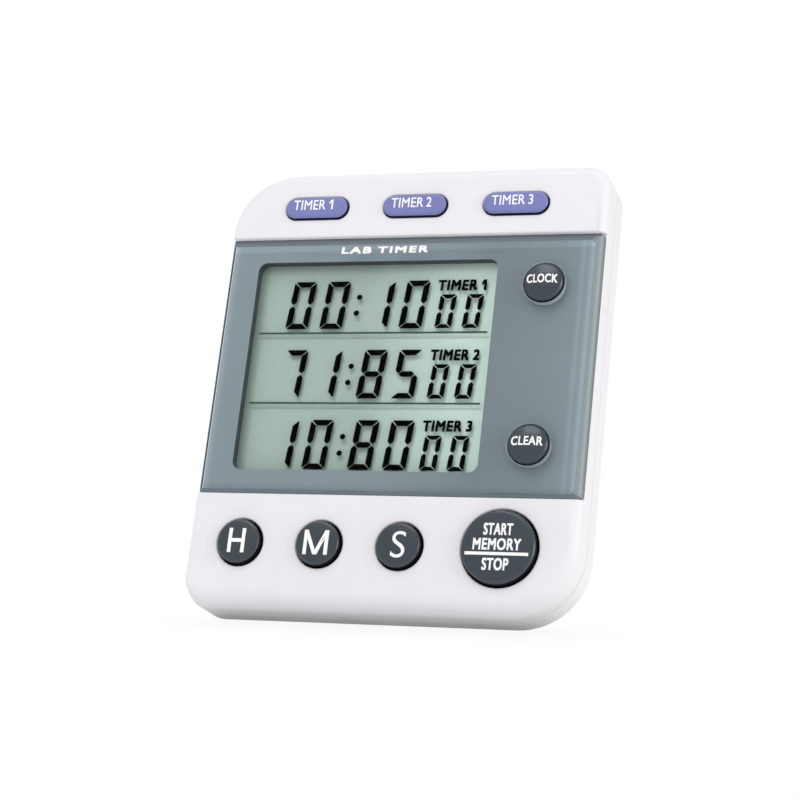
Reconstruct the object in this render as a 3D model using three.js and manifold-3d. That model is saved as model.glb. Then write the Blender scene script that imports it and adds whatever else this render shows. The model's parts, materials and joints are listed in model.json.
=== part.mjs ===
// A pocket laboratory timer with three channels: a white two-part case, a bevelled grey display panel,
// nine push buttons, a liquid crystal display, its circuit board, one AAA cell and a fold-out stand.
//
// Millimetres. Each piece is drawn upright: X to the reader's right, Y from the face into the depth and
// Z up the face, with the face on Y = 0 and the bottom edge on Z = 0. The finished timer is then leaned
// back on its rear bottom edge and its stand. The origin is the bottom centre of its bounding box.

import * as THREE from 'three';
import { mergeVertices } from 'three/addons/utils/BufferGeometryUtils.js';
import Module from 'manifold-3d';

const wasm = await Module();
wasm.setup();

// ------------------------------------------------------------------ driving dimensions

const LEAN = THREE.MathUtils.degToRad(19.8);
const STAND_OPEN = THREE.MathUtils.degToRad(35);
const GAP = 0.3;
const SKIN = 0.1;

const CASE = { width: 66.2, height: 77.3, depth: 13.6, wall: 1.8, back: 1.6, seam: 5.6 };
const CORNER = { bottomRight: 11.7, topRight: 4.1, topLeft: 11.1, bottomLeft: 3.7 };
const EDGE = { front: 1.8, frontBottom: 3.0, rear: 4.2 };
const TONGUE = { outer: 1.2, inner: 2.0, reach: 0.8 };

const PANEL = { width: 66.0, bottom: 19.37, top: 65.03, thick: 1.5, bevelDepth: 0.7 };
const BEVEL = { left: 0.35, right: 1.3, top: 1.4, bottom: 0.6 };
const WINDOW = { left: -28.25, right: 14.75, bottom: 23.85, top: 61.2, radius: 1.6 };
const FLOOR = { front: 1.9, rear: 3.3 };

const ROUND_KEY = { radius: 3.75, height: 1.2, flange: 4.35, edge: 0.55 };
const START_KEY = { radius: 6.15, height: 1.4, flange: 7.1, edge: 0.7 };
const SIDE_KEY = { radius: 3.35, height: 1.0, flange: 4.2, edge: 0.8 };
const PILL_KEY = { halfLength: 5.6, radius: 1.9, height: 0.7, flange: 0.85, edge: 0.5 };
const KEY_ROW = 10.8;
const PILL_ROW = 70.5;
const SIDE_COLUMN = 23.35;

const ROUND_KEYS = [
  { name: 'hour_button', x: -24.2, z: KEY_ROW, size: ROUND_KEY },
  { name: 'minute_button', x: -10.3, z: KEY_ROW, size: ROUND_KEY },
  { name: 'second_button', x: 3.5, z: KEY_ROW, size: ROUND_KEY },
  { name: 'start_stop_button', x: 20.25, z: KEY_ROW + 0.1, size: START_KEY },
];
const SIDE_KEYS = [
  { name: 'clock_button', x: SIDE_COLUMN, z: 56.2, size: SIDE_KEY },
  { name: 'clear_button', x: SIDE_COLUMN, z: 28.2, size: SIDE_KEY },
];
const PILL_KEYS = [
  { name: 'timer_1_button', x: -18.2, z: PILL_ROW },
  { name: 'timer_2_button', x: -0.45, z: PILL_ROW },
  { name: 'timer_3_button', x: 17.3, z: PILL_ROW },
];

const GLASS = { left: -30.4, right: 17.4, bottom: 20.0, top: 64.6, thick: 0.8, ledge: 2.6 };
const BEZEL = { front: FLOOR.front + SKIN, rear: 3.5, margin: 1.9 };
const BOARD = { front: 6.6, rear: 7.6, halfWidth: 30.4, bottom: 2.8, top: 74.0 };

const POST = { radius: 2.0, bore: 1.1, rear: 6.2 };
const REAR_BOSS = { radius: 2.6, bore: 1.25, front: 6.6, sink: 2.4, seat: 12.0 };
const CASE_SCREWS = [
  { name: 'case_screw_lower_left', x: -28.6, z: 5.4 },
  { name: 'case_screw_lower_right', x: 28.8, z: 20.5 },
  { name: 'case_screw_upper_left', x: -27.6, z: 68.6 },
  { name: 'case_screw_upper_right', x: 28.0, z: 71.5 },
];
const BOARD_SCREWS = [
  { name: 'board_screw_left', x: -28.3, z: 16.0 },
  { name: 'board_screw_right', x: 24.5, z: 42.2 },
  { name: 'board_screw_top', x: -9.3, z: 70.5 },
];
const BOARD_BOSS = { radius: 1.5, bore: 0.9 };

const CELL = { radius: 5.25, length: 43.7, nubRadius: 1.9, nubLength: 0.8, z: 52.8, left: -21.5 };
const BAY = { halfWidth: 25.7, bottom: 46.9, top: 58.7, wall: 1.1, floor: 7.3, ledge: 16.9, skin: 18.5 };
const TRACK = { bottom: 46.2, top: 59.4, lip: 1.1, left: -23.9 };
const POD = { halfWidth: 27.0, bottom: 45.0, top: 66.0, radius: 4.0, rear: 19.6, edge: 1.2 };
const MAGNET = { halfWidth: 19.7, bottom: 60.8, top: 64.8, front: 18.5, rear: 19.7 };

const HINGE = { y: 15.9, z: 42.4, barrel: 2.0, lug: 2.2, lugWidth: 2.4, pin: 0.9 };
const STAND = { halfWidth: 20.6, arm: 6.0, foot: 7.0, thick: 2.0 };
const BUZZER = { x: 0, z: 22, radius: 10, rear: 11.6 };

const COLOR = {
  white: 0xf0f0f3,
  slate: 0x4c555d,
  purple: 0x716cb4,
  panel: 0x87949d,
  clear: 0xdfe6e8,
  reflector: 0xb4c6bb,
  black: 0x17181a,
  rubber: 0xb8bcc0,
  board: 0x1f5c3c,
  steel: 0xb9bcc0,
  brass: 0xc9a45a,
  jacket: 0x2f4f86,
  red: 0xb0302c,
};

// ------------------------------------------------------------------ outlines and solids

function roundedOutline({ left, right, bottom, top, radii, segments = 6 }) {
  const [bottomRight, topRight, topLeft, bottomLeft] = radii;
  const corners = [
    { x: right - bottomRight, z: bottom + bottomRight, radius: bottomRight, from: -90 },
    { x: right - topRight, z: top - topRight, radius: topRight, from: 0 },
    { x: left + topLeft, z: top - topLeft, radius: topLeft, from: 90 },
    { x: left + bottomLeft, z: bottom + bottomLeft, radius: bottomLeft, from: 180 },
  ];
  return corners.flatMap(({ x, z, radius, from }) =>
    Array.from({ length: segments + 1 }, (_, i) => {
      const angle = THREE.MathUtils.degToRad(from + (90 * i) / segments);
      return [x + radius * Math.cos(angle), z + radius * Math.sin(angle)];
    })
  );
}

function rectangle(left, right, bottom, top, radius, segments = 4) {
  return roundedOutline({ left, right, bottom, top, radii: [radius, radius, radius, radius], segments });
}

function circle(x, z, radius, segments = 24) {
  return Array.from({ length: segments }, (_, i) => {
    const angle = (2 * Math.PI * i) / segments;
    return [x + radius * Math.cos(angle), z + radius * Math.sin(angle)];
  });
}

function stadium(x, z, halfLength, radius) {
  return rectangle(x - halfLength, x + halfLength, z - radius, z + radius, radius - 0.001, 5);
}

// The case outline drawn in by an inset, with its corner radii shrinking to match.
function caseOutline(inset, bottomInset = inset) {
  const shrink = (radius) => Math.max(radius - inset, 0.4);
  return roundedOutline({
    left: -CASE.width / 2 + inset,
    right: CASE.width / 2 - inset,
    bottom: bottomInset,
    top: CASE.height - inset,
    radii: [CORNER.bottomRight, CORNER.topRight, CORNER.topLeft, CORNER.bottomLeft].map(shrink),
  });
}

// A closed solid through a row of outlines, each at its own depth Y and all with the same point count.
function loft(levels) {
  const count = levels[0].outline.length;
  const positions = levels.flatMap(({ y, outline }) => outline.flatMap(([x, z]) => [x, y, z]));
  const index = [];
  for (let level = 0; level < levels.length - 1; level++) {
    for (let i = 0; i < count; i++) {
      const a = level * count + i;
      const b = level * count + ((i + 1) % count);
      index.push(a, b + count, b, a, a + count, b + count);
    }
  }
  const last = (levels.length - 1) * count;
  for (let i = 1; i < count - 1; i++) {
    index.push(0, i, i + 1);
    index.push(last, last + i + 1, last + i);
  }
  const geometry = new THREE.BufferGeometry();
  geometry.setAttribute('position', new THREE.Float32BufferAttribute(positions, 3));
  geometry.setIndex(index);
  return geometry;
}

function slab(outline, front, rear) {
  return loft([{ y: front, outline }, { y: rear, outline }]);
}

function turned(x, z, profile, segments = 24) {
  return loft(profile.map(([radius, y]) => ({ y, outline: circle(x, z, radius, segments) })));
}

function box(left, right, front, rear, bottom, top) {
  const geometry = new THREE.BoxGeometry(right - left, rear - front, top - bottom);
  return geometry.translate((left + right) / 2, (front + rear) / 2, (bottom + top) / 2);
}

// A cylinder that lies along X.
function rod(left, right, y, z, radius, segments = 20) {
  const geometry = new THREE.CylinderGeometry(radius, radius, right - left, segments);
  return geometry.rotateZ(Math.PI / 2).translate((left + right) / 2, y, z);
}

function wire(points, radius, segments = 8) {
  const path = new THREE.CatmullRomCurve3(points.map(([x, y, z]) => new THREE.Vector3(x, y, z)));
  const section = new THREE.Shape();
  section.absarc(0, 0, radius, 0, 2 * Math.PI);
  const options = { steps: segments, curveSegments: 3, bevelEnabled: false, extrudePath: path };
  return new THREE.ExtrudeGeometry(section, options);
}

function solid(geometry) {
  const bare = geometry.clone();
  bare.deleteAttribute('normal');
  bare.deleteAttribute('uv');
  const merged = mergeVertices(bare, 1e-5);
  const mesh = new wasm.Mesh({
    numProp: 3,
    vertProperties: new Float32Array(merged.attributes.position.array),
    triVerts: new Uint32Array(merged.index.array),
  });
  return new wasm.Manifold(mesh);
}

function join(base, ...additions) {
  return additions.reduce((sum, geometry) => sum.add(solid(geometry)), base);
}

function cut(base, ...removals) {
  return removals.reduce((rest, geometry) => rest.subtract(solid(geometry)), base);
}

function shape(manifold) {
  const { vertProperties, triVerts } = manifold.getMesh();
  const geometry = new THREE.BufferGeometry();
  geometry.setAttribute('position', new THREE.BufferAttribute(vertProperties, 3));
  geometry.setIndex(new THREE.BufferAttribute(triVerts, 1));
  return geometry;
}

function piece(name, geometry, color, roughness, metalness = 0) {
  const material = new THREE.MeshStandardMaterial({ color, roughness, metalness });
  const mesh = new THREE.Mesh(geometry, material);
  mesh.name = name;
  return mesh;
}

// ------------------------------------------------------------------ case

// How far a quarter-round edge of this radius draws the outline in at a distance from the end face.
function drawIn(radius, distance) {
  const rest = Math.max(radius - distance, 0);
  return radius - Math.sqrt(radius * radius - rest * rest);
}

function caseSolid() {
  const steps = 6;
  const levels = [];
  for (let i = 0; i <= steps; i++) {
    const y = EDGE.frontBottom * (1 - Math.cos((Math.PI / 2) * (i / steps)));
    levels.push({ y, outline: caseOutline(drawIn(EDGE.front, y), drawIn(EDGE.frontBottom, y)) });
  }
  for (let i = 0; i <= steps; i++) {
    const y = CASE.depth - EDGE.rear * (1 - Math.sin((Math.PI / 2) * (i / steps)));
    levels.push({ y, outline: caseOutline(drawIn(EDGE.rear, CASE.depth - y)) });
  }
  return solid(loft(levels));
}

function caseCavity() {
  const front = CASE.wall;
  const rear = CASE.depth - CASE.back;
  const radius = EDGE.rear - CASE.back;
  const levels = [
    { y: front, outline: caseOutline(CASE.wall + 0.8) },
    { y: front + 0.8, outline: caseOutline(CASE.wall) },
  ];
  for (const turn of [0, 30, 60, 90]) {
    const y = rear - radius * (1 - Math.sin(THREE.MathUtils.degToRad(turn)));
    levels.push({ y, outline: caseOutline(CASE.wall + drawIn(radius, rear - y)) });
  }
  return loft(levels);
}

function keyHoles() {
  const round = ROUND_KEYS.map(({ x, z, size }) => slab(circle(x, z, size.radius + GAP), -1, 4));
  const side = SIDE_KEYS.map(({ x, z, size }) => slab(circle(x, z, size.radius + GAP), -1, 4));
  const pills = PILL_KEYS.map(({ x, z }) =>
    slab(stadium(x, z, PILL_KEY.halfLength + 0.25, PILL_KEY.radius + 0.25), -1, 4)
  );
  return [...round, ...side, ...pills];
}

function frontCase() {
  const half = CASE.width / 2;
  const behindSeam = box(-half - 1, half + 1, CASE.seam, CASE.depth + 1, -1, CASE.height + 1);
  const floor = box(-half + 1, half - 1, CASE.wall - SKIN, FLOOR.rear, 18.4, 66.4);
  const channel = box(-half - 1, half + 1, -1, FLOOR.front, PANEL.bottom - 0.2, PANEL.top + 0.2);
  const { margin } = BEZEL;
  const opening = box(
    WINDOW.left - margin - GAP,
    WINDOW.right + margin + GAP,
    0,
    4,
    WINDOW.bottom - margin - GAP,
    WINDOW.top + margin + GAP
  );
  const rebate = slab(caseOutline(0.9), CASE.seam - TONGUE.reach - GAP, CASE.seam + 1);
  const posts = CASE_SCREWS.map(({ x, z }) => slab(circle(x, z, POST.radius, 20), CASE.wall - SKIN, POST.rear));
  const bosses = BOARD_SCREWS.map(({ x, z }) =>
    slab(circle(x, z, BOARD_BOSS.radius, 16), CASE.wall - SKIN, BOARD.front - SKIN)
  );
  const postBores = CASE_SCREWS.map(({ x, z }) => slab(circle(x, z, POST.bore, 16), FLOOR.rear, 10));
  const bossBores = BOARD_SCREWS.map(({ x, z }) => slab(circle(x, z, BOARD_BOSS.bore, 12), FLOOR.rear, 10));
  const shell = cut(caseSolid(), behindSeam, caseCavity(), rebate);
  const filled = join(shell, floor, ...posts, ...bosses);
  return shape(cut(filled, channel, opening, ...keyHoles(), ...postBores, ...bossBores));
}

function podSolid() {
  const outline = (inset) =>
    rectangle(
      -POD.halfWidth + inset,
      POD.halfWidth - inset,
      POD.bottom + inset,
      POD.top - inset,
      POD.radius - inset,
      6
    );
  const levels = [{ y: CASE.depth - 1, outline: outline(0) }];
  for (const turn of [0, 30, 60, 90]) {
    const y = POD.rear - POD.edge * (1 - Math.sin(THREE.MathUtils.degToRad(turn)));
    levels.push({ y, outline: outline(drawIn(POD.edge, POD.rear - y)) });
  }
  return loft(levels);
}

function hingeLugs() {
  return [-1, 1].flatMap((side) => {
    const inner = side * (STAND.halfWidth + GAP);
    const outer = inner + side * HINGE.lugWidth;
    const [left, right] = [Math.min(inner, outer), Math.max(inner, outer)];
    return [
      box(left, right, CASE.depth - 1, HINGE.y, HINGE.z - HINGE.lug, HINGE.z + HINGE.lug),
      rod(left, right, HINGE.y, HINGE.z, HINGE.lug),
    ];
  });
}

function soundSlots() {
  return [-2, -1, 0, 1, 2].map((row) => {
    const reach = 6.5 - Math.abs(row);
    const z = BUZZER.z + row * 3.2;
    return slab(stadium(BUZZER.x, z, reach, 0.6), BUZZER.rear, CASE.depth + 1);
  });
}

function rearCase() {
  const half = CASE.width / 2;
  const { wall, floor } = BAY;
  const aheadOfSeam = box(-half - 1, half + 1, -1, CASE.seam + GAP, -1, CASE.height + 1);
  const tongueFront = CASE.seam - TONGUE.reach;
  const tongue = slab(caseOutline(TONGUE.outer), tongueFront, CASE.seam + 1);
  const tongueHollow = slab(caseOutline(TONGUE.inner), tongueFront - 1, CASE.seam + 2);
  const bayBox = box(
    -BAY.halfWidth - wall,
    BAY.halfWidth + wall,
    floor - 1,
    CASE.depth,
    POD.bottom,
    TRACK.top + wall
  );
  const bosses = CASE_SCREWS.map(({ x, z }) =>
    slab(circle(x, z, REAR_BOSS.radius, 20), REAR_BOSS.front, REAR_BOSS.seat + SKIN)
  );
  const bayHollow = box(-BAY.halfWidth, BAY.halfWidth, floor, BAY.skin, BAY.bottom, BAY.top);
  const track = box(-BAY.halfWidth, POD.halfWidth + 1, BAY.ledge, BAY.skin, TRACK.bottom, TRACK.top);
  const mouth = box(
    TRACK.left,
    POD.halfWidth + 1,
    BAY.ledge,
    POD.rear + 1,
    TRACK.bottom + TRACK.lip,
    TRACK.top - TRACK.lip
  );
  const magnetPocket = box(
    -MAGNET.halfWidth - GAP,
    MAGNET.halfWidth + GAP,
    MAGNET.front - SKIN,
    POD.rear + 1,
    MAGNET.bottom - 0.2,
    MAGNET.top + 0.2
  );
  const podHollow = box(-24.5, 24.5, 10, MAGNET.front - 1.2, TRACK.top + wall + 0.6, POD.top - 1.2);
  const bores = CASE_SCREWS.map(({ x, z }) => slab(circle(x, z, REAR_BOSS.bore, 16), 0, 14));
  const sinks = CASE_SCREWS.map(({ x, z }) => slab(circle(x, z, REAR_BOSS.sink, 20), REAR_BOSS.seat, 16));
  const pinBore = rod(-half, half, HINGE.y, HINGE.z, HINGE.pin + SKIN);
  const shell = cut(caseSolid(), caseCavity(), aheadOfSeam);
  const withTongue = shell.add(cut(solid(tongue), tongueHollow));
  const bossSolids = bosses.map(solid).reduce((sum, boss) => sum.add(boss));
  const insideBosses = bossSolids.intersect(caseSolid());
  const full = join(withTongue.add(insideBosses), podSolid(), bayBox, ...hingeLugs());
  const emptied = cut(full, bayHollow, track, mouth, magnetPocket, podHollow, pinBore);
  return shape(cut(emptied, ...bores, ...sinks, ...soundSlots()));
}

// ------------------------------------------------------------------ display

function displayLens() {
  const half = PANEL.width / 2;
  const outer = rectangle(-half, half, PANEL.bottom, PANEL.top, 0.6, 3);
  const face = rectangle(
    -half + BEVEL.left,
    half - BEVEL.right,
    PANEL.bottom + BEVEL.bottom,
    PANEL.top - BEVEL.top,
    0.6,
    3
  );
  const plate = loft([
    { y: 0, outline: face },
    { y: PANEL.bevelDepth, outline: outer },
    { y: PANEL.thick, outline: outer },
  ]);
  const holes = SIDE_KEYS.map(({ x, z, size }) => slab(circle(x, z, size.radius + GAP), -1, 4));
  return shape(cut(solid(plate), ...holes));
}

function windowOutline(grow) {
  return rectangle(
    WINDOW.left - grow,
    WINDOW.right + grow,
    WINDOW.bottom - grow,
    WINDOW.top + grow,
    WINDOW.radius + grow,
    6
  );
}

function lensPrint() {
  const half = PANEL.width / 2 - GAP;
  const front = PANEL.thick + SKIN;
  const sheet = slab(rectangle(-half, half, PANEL.bottom + GAP, PANEL.top - GAP, 0.6, 3), front, front + 0.2);
  const holes = SIDE_KEYS.map(({ x, z, size }) => slab(circle(x, z, size.radius + 0.5), -1, 4));
  return shape(cut(solid(sheet), slab(windowOutline(0), -1, 4), ...holes));
}

function displayBezel() {
  const { margin, front, rear } = BEZEL;
  const frame = box(
    WINDOW.left - margin,
    WINDOW.right + margin,
    front,
    rear,
    WINDOW.bottom - margin,
    WINDOW.top + margin
  );
  return shape(cut(solid(frame), slab(windowOutline(0.15), -1, 5)));
}

const GLASS_FRONT = BEZEL.rear + SKIN;
const GLASS_SPLIT = GLASS_FRONT + GLASS.thick;
const GLASS_REAR = GLASS_SPLIT + SKIN + GLASS.thick;

function frontGlass() {
  return box(GLASS.left, GLASS.right, GLASS_FRONT, GLASS_SPLIT, GLASS.bottom, GLASS.top);
}

function rearPlate(front, rear) {
  return box(GLASS.left, GLASS.right, front, rear, GLASS.bottom + GLASS.ledge, GLASS.top - GLASS.ledge);
}

function contactStrip(bottom) {
  return box(GLASS.left + 2, GLASS.right - 2, GLASS_SPLIT + SKIN, BOARD.front - SKIN, bottom, bottom + 1.7);
}

function display() {
  return [
    piece('display_lens', displayLens(), COLOR.clear, 0.1),
    piece('lens_print', lensPrint(), COLOR.panel, 0.3),
    piece('display_bezel', displayBezel(), COLOR.black, 0.6),
    piece('lcd_front_glass', frontGlass(), COLOR.clear, 0.1),
    piece('lcd_rear_glass', rearPlate(GLASS_SPLIT + SKIN, GLASS_REAR), COLOR.clear, 0.1),
    piece('lcd_reflector', rearPlate(GLASS_REAR + SKIN, GLASS_REAR + 0.3), COLOR.reflector, 0.7),
    piece('contact_strip_lower', contactStrip(GLASS.bottom + 0.4), COLOR.rubber, 0.8),
    piece('contact_strip_upper', contactStrip(GLASS.top - 2.1), COLOR.rubber, 0.8),
  ];
}

// ------------------------------------------------------------------ buttons

// A round cap with a softened edge, a flange that keeps it in the case and a short plunger.
function roundCap({ x, z, size, flangeFront }) {
  const { radius, height, flange, edge } = size;
  return turned(x, z, [
    [radius - edge, -height],
    [radius - edge * 0.29, -height + edge * 0.29],
    [radius, -height + edge],
    [radius, flangeFront],
    [flange, flangeFront],
    [flange, flangeFront + 0.8],
    [1.6, flangeFront + 0.8],
    [1.6, flangeFront + 1.0],
  ]);
}

function pillCap({ x, z }) {
  const { halfLength, radius, height, flange, edge } = PILL_KEY;
  const front = CASE.wall + GAP;
  const level = (grow, y) => ({ y, outline: stadium(x, z, halfLength + grow, radius + grow) });
  return loft([
    level(-edge, -height),
    level(-edge * 0.29, -height + edge * 0.29),
    level(0, -height + edge),
    level(0, front),
    level(flange, front),
    level(flange, front + 0.8),
  ]);
}

function buttons() {
  const onFace = ROUND_KEYS.map((key) =>
    piece(key.name, roundCap({ ...key, flangeFront: CASE.wall + GAP }), COLOR.slate, 0.5)
  );
  const onPanel = SIDE_KEYS.map((key) =>
    piece(key.name, roundCap({ ...key, flangeFront: FLOOR.rear + GAP }), COLOR.slate, 0.5)
  );
  const pills = PILL_KEYS.map((key) => piece(key.name, pillCap(key), COLOR.purple, 0.4));
  return [...pills, ...onPanel, ...onFace];
}

// Rubber sheets behind the buttons, whose domes push each cap back and close its contact.
const MAT = { front: 5.5, rear: BOARD.front - GAP, dome: 4.1 };

function lowerKeyMat() {
  const sheet = slab(rectangle(-26.2, 27.4, 5.0, 16.8, 1.5), MAT.front, MAT.rear);
  const domes = ROUND_KEYS.map(({ x, z, size }) =>
    slab(circle(x, z, size.radius * 0.7, 20), MAT.dome, MAT.front + SKIN)
  );
  return shape(join(solid(sheet), ...domes));
}

function upperKeyMat() {
  const sheet = slab(rectangle(-24, 23.4, 68.0, 73.0, 1.5), MAT.front, MAT.rear);
  const domes = PILL_KEYS.map(({ x, z }) => slab(stadium(x, z, 4.2, 1.4), MAT.dome, MAT.front + SKIN));
  const boss = BOARD_SCREWS.find(({ name }) => name === 'board_screw_top');
  const clearance = slab(circle(boss.x, boss.z, BOARD_BOSS.radius + GAP, 16), 0, 10);
  return shape(cut(join(solid(sheet), ...domes), clearance));
}

function sideKeyPad({ x, z }) {
  return slab(circle(x, z, 3.8, 20), 5.7, MAT.rear);
}

function keyMats() {
  return [
    piece('key_mat_lower', lowerKeyMat(), COLOR.rubber, 0.8),
    piece('key_mat_upper', upperKeyMat(), COLOR.rubber, 0.8),
    ...SIDE_KEYS.map((key) => piece(key.name.replace('button', 'key_pad'), sideKeyPad(key), COLOR.rubber, 0.8)),
  ];
}

// ------------------------------------------------------------------ circuit board

function circuitBoard() {
  const { front, rear, halfWidth, bottom, top } = BOARD;
  const inset = CASE.width / 2 - halfWidth;
  const blank = slab(caseOutline(inset, bottom), front, rear);
  const bayNotch = box(
    -BAY.halfWidth - BAY.wall - GAP,
    BAY.halfWidth + BAY.wall + GAP,
    front - 1,
    rear + 1,
    POD.bottom - GAP,
    TRACK.top + BAY.wall + GAP
  );
  const reach = REAR_BOSS.radius + GAP;
  const notches = CASE_SCREWS.flatMap(({ x, z }) => [
    slab(circle(x, z, reach, 20), 0, 10),
    box(Math.min(x, 40 * Math.sign(x)), Math.max(x, 40 * Math.sign(x)), 0, 10, z - reach, z + reach),
  ]);
  const holes = BOARD_SCREWS.map(({ x, z }) => slab(circle(x, z, 0.95, 12), 0, 10));
  const tall = box(-halfWidth - 1, halfWidth + 1, front - 1, rear + 1, top, top + 5);
  return shape(cut(solid(blank), tall, bayNotch, ...notches, ...holes));
}

function screw({ x, z }, { head, headFront, headRear, shaft, tip }) {
  const body = turned(
    x,
    z,
    [
      [shaft * 0.4, tip],
      [shaft, tip + shaft],
      [shaft, headFront],
      [head, headFront],
      [head, headRear - 0.3],
      [head - 0.3, headRear],
    ],
    12
  );
  const slotDepth = (headRear - headFront) * 0.5;
  const bar = (dx, dz) => box(x - dx, x + dx, headRear - slotDepth, headRear + 1, z - dz, z + dz);
  const arm = head * 0.62;
  const slot = head * 0.14;
  return shape(cut(solid(body), bar(arm, slot), bar(slot, arm)));
}

const CASE_SCREW = { head: 2.0, headFront: 12.1, headRear: 13.3, shaft: 0.95, tip: 3.6 };
const BOARD_SCREW = { head: 1.6, headFront: 7.7, headRear: 8.4, shaft: 0.7, tip: 3.6 };

function chipBlob() {
  const rise = BOARD.rear + SKIN;
  return turned(4, 30, [[5.6, rise], [5.3, rise + 0.5], [4.2, rise + 1.1], [2.4, rise + 1.5]], 24);
}

function electronics() {
  const behind = BOARD.rear + SKIN;
  return [
    piece('circuit_board', circuitBoard(), COLOR.board, 0.5),
    piece('controller_chip', chipBlob(), COLOR.black, 0.3),
    piece('quartz_crystal', rod(-14, -8, behind + 1.1, 30, 1.0, 16), COLOR.steel, 0.3, 1),
    piece('capacitor_left', box(-14, -12, behind, behind + 1, 34.5, 36), COLOR.brass, 0.6),
    piece('capacitor_right', box(-10, -8, behind, behind + 1, 34.5, 36), COLOR.brass, 0.6),
    ...BOARD_SCREWS.map((place) => piece(place.name, screw(place, BOARD_SCREW), COLOR.steel, 0.3, 1)),
  ];
}

function buzzerDisc() {
  const { x, z, radius, rear } = BUZZER;
  return turned(x, z, [[radius * 0.7, rear - 0.6], [radius * 0.7, rear - 0.4], [radius, rear - 0.4], [radius, rear]]);
}

function buzzer() {
  const end = BOARD.rear + 0.2;
  const start = BUZZER.rear - 0.8;
  const lead = (x) => wire([[x, start, BUZZER.z + 3], [x * 1.6, start - 1.2, BUZZER.z + 1], [x * 2, end, BUZZER.z - 2]], 0.35);
  return [
    piece('piezo_buzzer', buzzerDisc(), COLOR.brass, 0.35, 1),
    piece('buzzer_lead_left', lead(-4), COLOR.black, 0.5),
    piece('buzzer_lead_right', lead(4), COLOR.red, 0.5),
  ];
}

// ------------------------------------------------------------------ battery

const CELL_AXIS = BAY.floor + GAP + CELL.radius;

function batteryCell() {
  const { radius, length, nubRadius, nubLength } = CELL;
  const profile = [
    [0, 0],
    [radius - 0.5, 0],
    [radius, 0.5],
    [radius, length - 0.5],
    [radius - 0.5, length],
    [nubRadius, length],
    [nubRadius, length + nubLength],
    [0, length + nubLength],
  ].map(([r, along]) => new THREE.Vector2(r, along));
  const turnedCell = new THREE.LatheGeometry(profile, 24);
  return turnedCell.rotateZ(-Math.PI / 2).translate(CELL.left, CELL_AXIS, CELL.z);
}

function positiveContact() {
  const left = CELL.left + CELL.length + CELL.nubLength + GAP;
  return box(left, left + 0.4, CELL_AXIS - 4, CELL_AXIS + 3.6, CELL.z - 4, CELL.z + 4);
}

function negativeSpring() {
  const turns = 3;
  const reach = 2.6;
  const right = CELL.left - GAP - 0.35;
  const points = Array.from({ length: turns * 12 + 1 }, (_, i) => {
    const angle = (2 * Math.PI * i) / 12;
    const share = i / (turns * 12);
    const radius = 3.4 - 1.4 * share;
    return [right - reach * (1 - share), CELL_AXIS + radius * Math.cos(angle), CELL.z + radius * Math.sin(angle)];
  });
  return wire(points, 0.3, turns * 12);
}

function batteryDoor() {
  const left = TRACK.left + GAP;
  const right = POD.halfWidth - 0.2;
  const lipBottom = TRACK.bottom + TRACK.lip + GAP;
  const lipTop = TRACK.top - TRACK.lip - GAP;
  const plate = box(left, right, BAY.skin - SKIN, POD.rear, lipBottom, lipTop);
  const runner = 1.2;
  const runners = [
    box(left, right, BAY.ledge + GAP, BAY.skin - GAP + 0.2, TRACK.bottom + GAP, lipBottom + runner),
    box(left, right, BAY.ledge + GAP, BAY.skin - GAP + 0.2, lipTop - runner, TRACK.top - GAP),
  ];
  const grooves = [14, 16, 18, 20, 22].map((x) =>
    box(x - 0.45, x + 0.45, POD.rear - 0.4, POD.rear + 1, lipBottom + 1.6, lipTop - 1.6)
  );
  return shape(cut(join(solid(plate), ...runners), ...grooves));
}

function battery() {
  const board = BOARD.rear + 0.3;
  const inner = BAY.halfWidth + BAY.wall + 0.5;
  const lead = (side) => wire(
    [[side * inner, 11.2, 56], [side * (inner + 0.6), 10.4, 60], [side * inner, board + 0.3, 64]],
    0.35
  );
  return [
    piece('battery_door', batteryDoor(), COLOR.white, 0.4),
    piece('battery_cell', batteryCell(), COLOR.jacket, 0.3),
    piece('battery_contact', positiveContact(), COLOR.steel, 0.3, 1),
    piece('battery_spring', negativeSpring(), COLOR.steel, 0.3, 1),
    piece('battery_lead_negative', lead(-1), COLOR.black, 0.5),
    piece('battery_lead_positive', lead(1), COLOR.red, 0.5),
  ];
}

// ------------------------------------------------------------------ back fittings and stand

function magnetStrip() {
  const { halfWidth, bottom, top, front, rear } = MAGNET;
  return box(-halfWidth, halfWidth, front, rear, bottom, top);
}

function caseFittings() {
  const pinEnd = STAND.halfWidth + HINGE.lugWidth;
  return [
    piece('magnet_strip', magnetStrip(), COLOR.black, 0.7),
    piece('stand_hinge_pin', rod(-pinEnd, pinEnd, HINGE.y, HINGE.z, HINGE.pin, 20), COLOR.steel, 0.3, 1),
    ...CASE_SCREWS.map((place) => piece(place.name, screw(place, CASE_SCREW), COLOR.steel, 0.3, 1)),
  ];
}

// Height of a point of the upright timer once it leans back, before it is set down on the origin.
function leanedHeight(y, z) {
  return z * Math.cos(LEAN) - y * Math.sin(LEAN);
}

// The leg reaches from the hinge to the ground that the rear bottom edge of the case rests on.
function standReach() {
  const tipRadius = STAND.thick / 2;
  const ground = leanedHeight(CASE.depth - EDGE.rear, EDGE.rear) - EDGE.rear;
  const drop = leanedHeight(HINGE.y, HINGE.z) - ground - tipRadius;
  return drop / Math.cos(STAND_OPEN - LEAN) + tipRadius;
}

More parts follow.
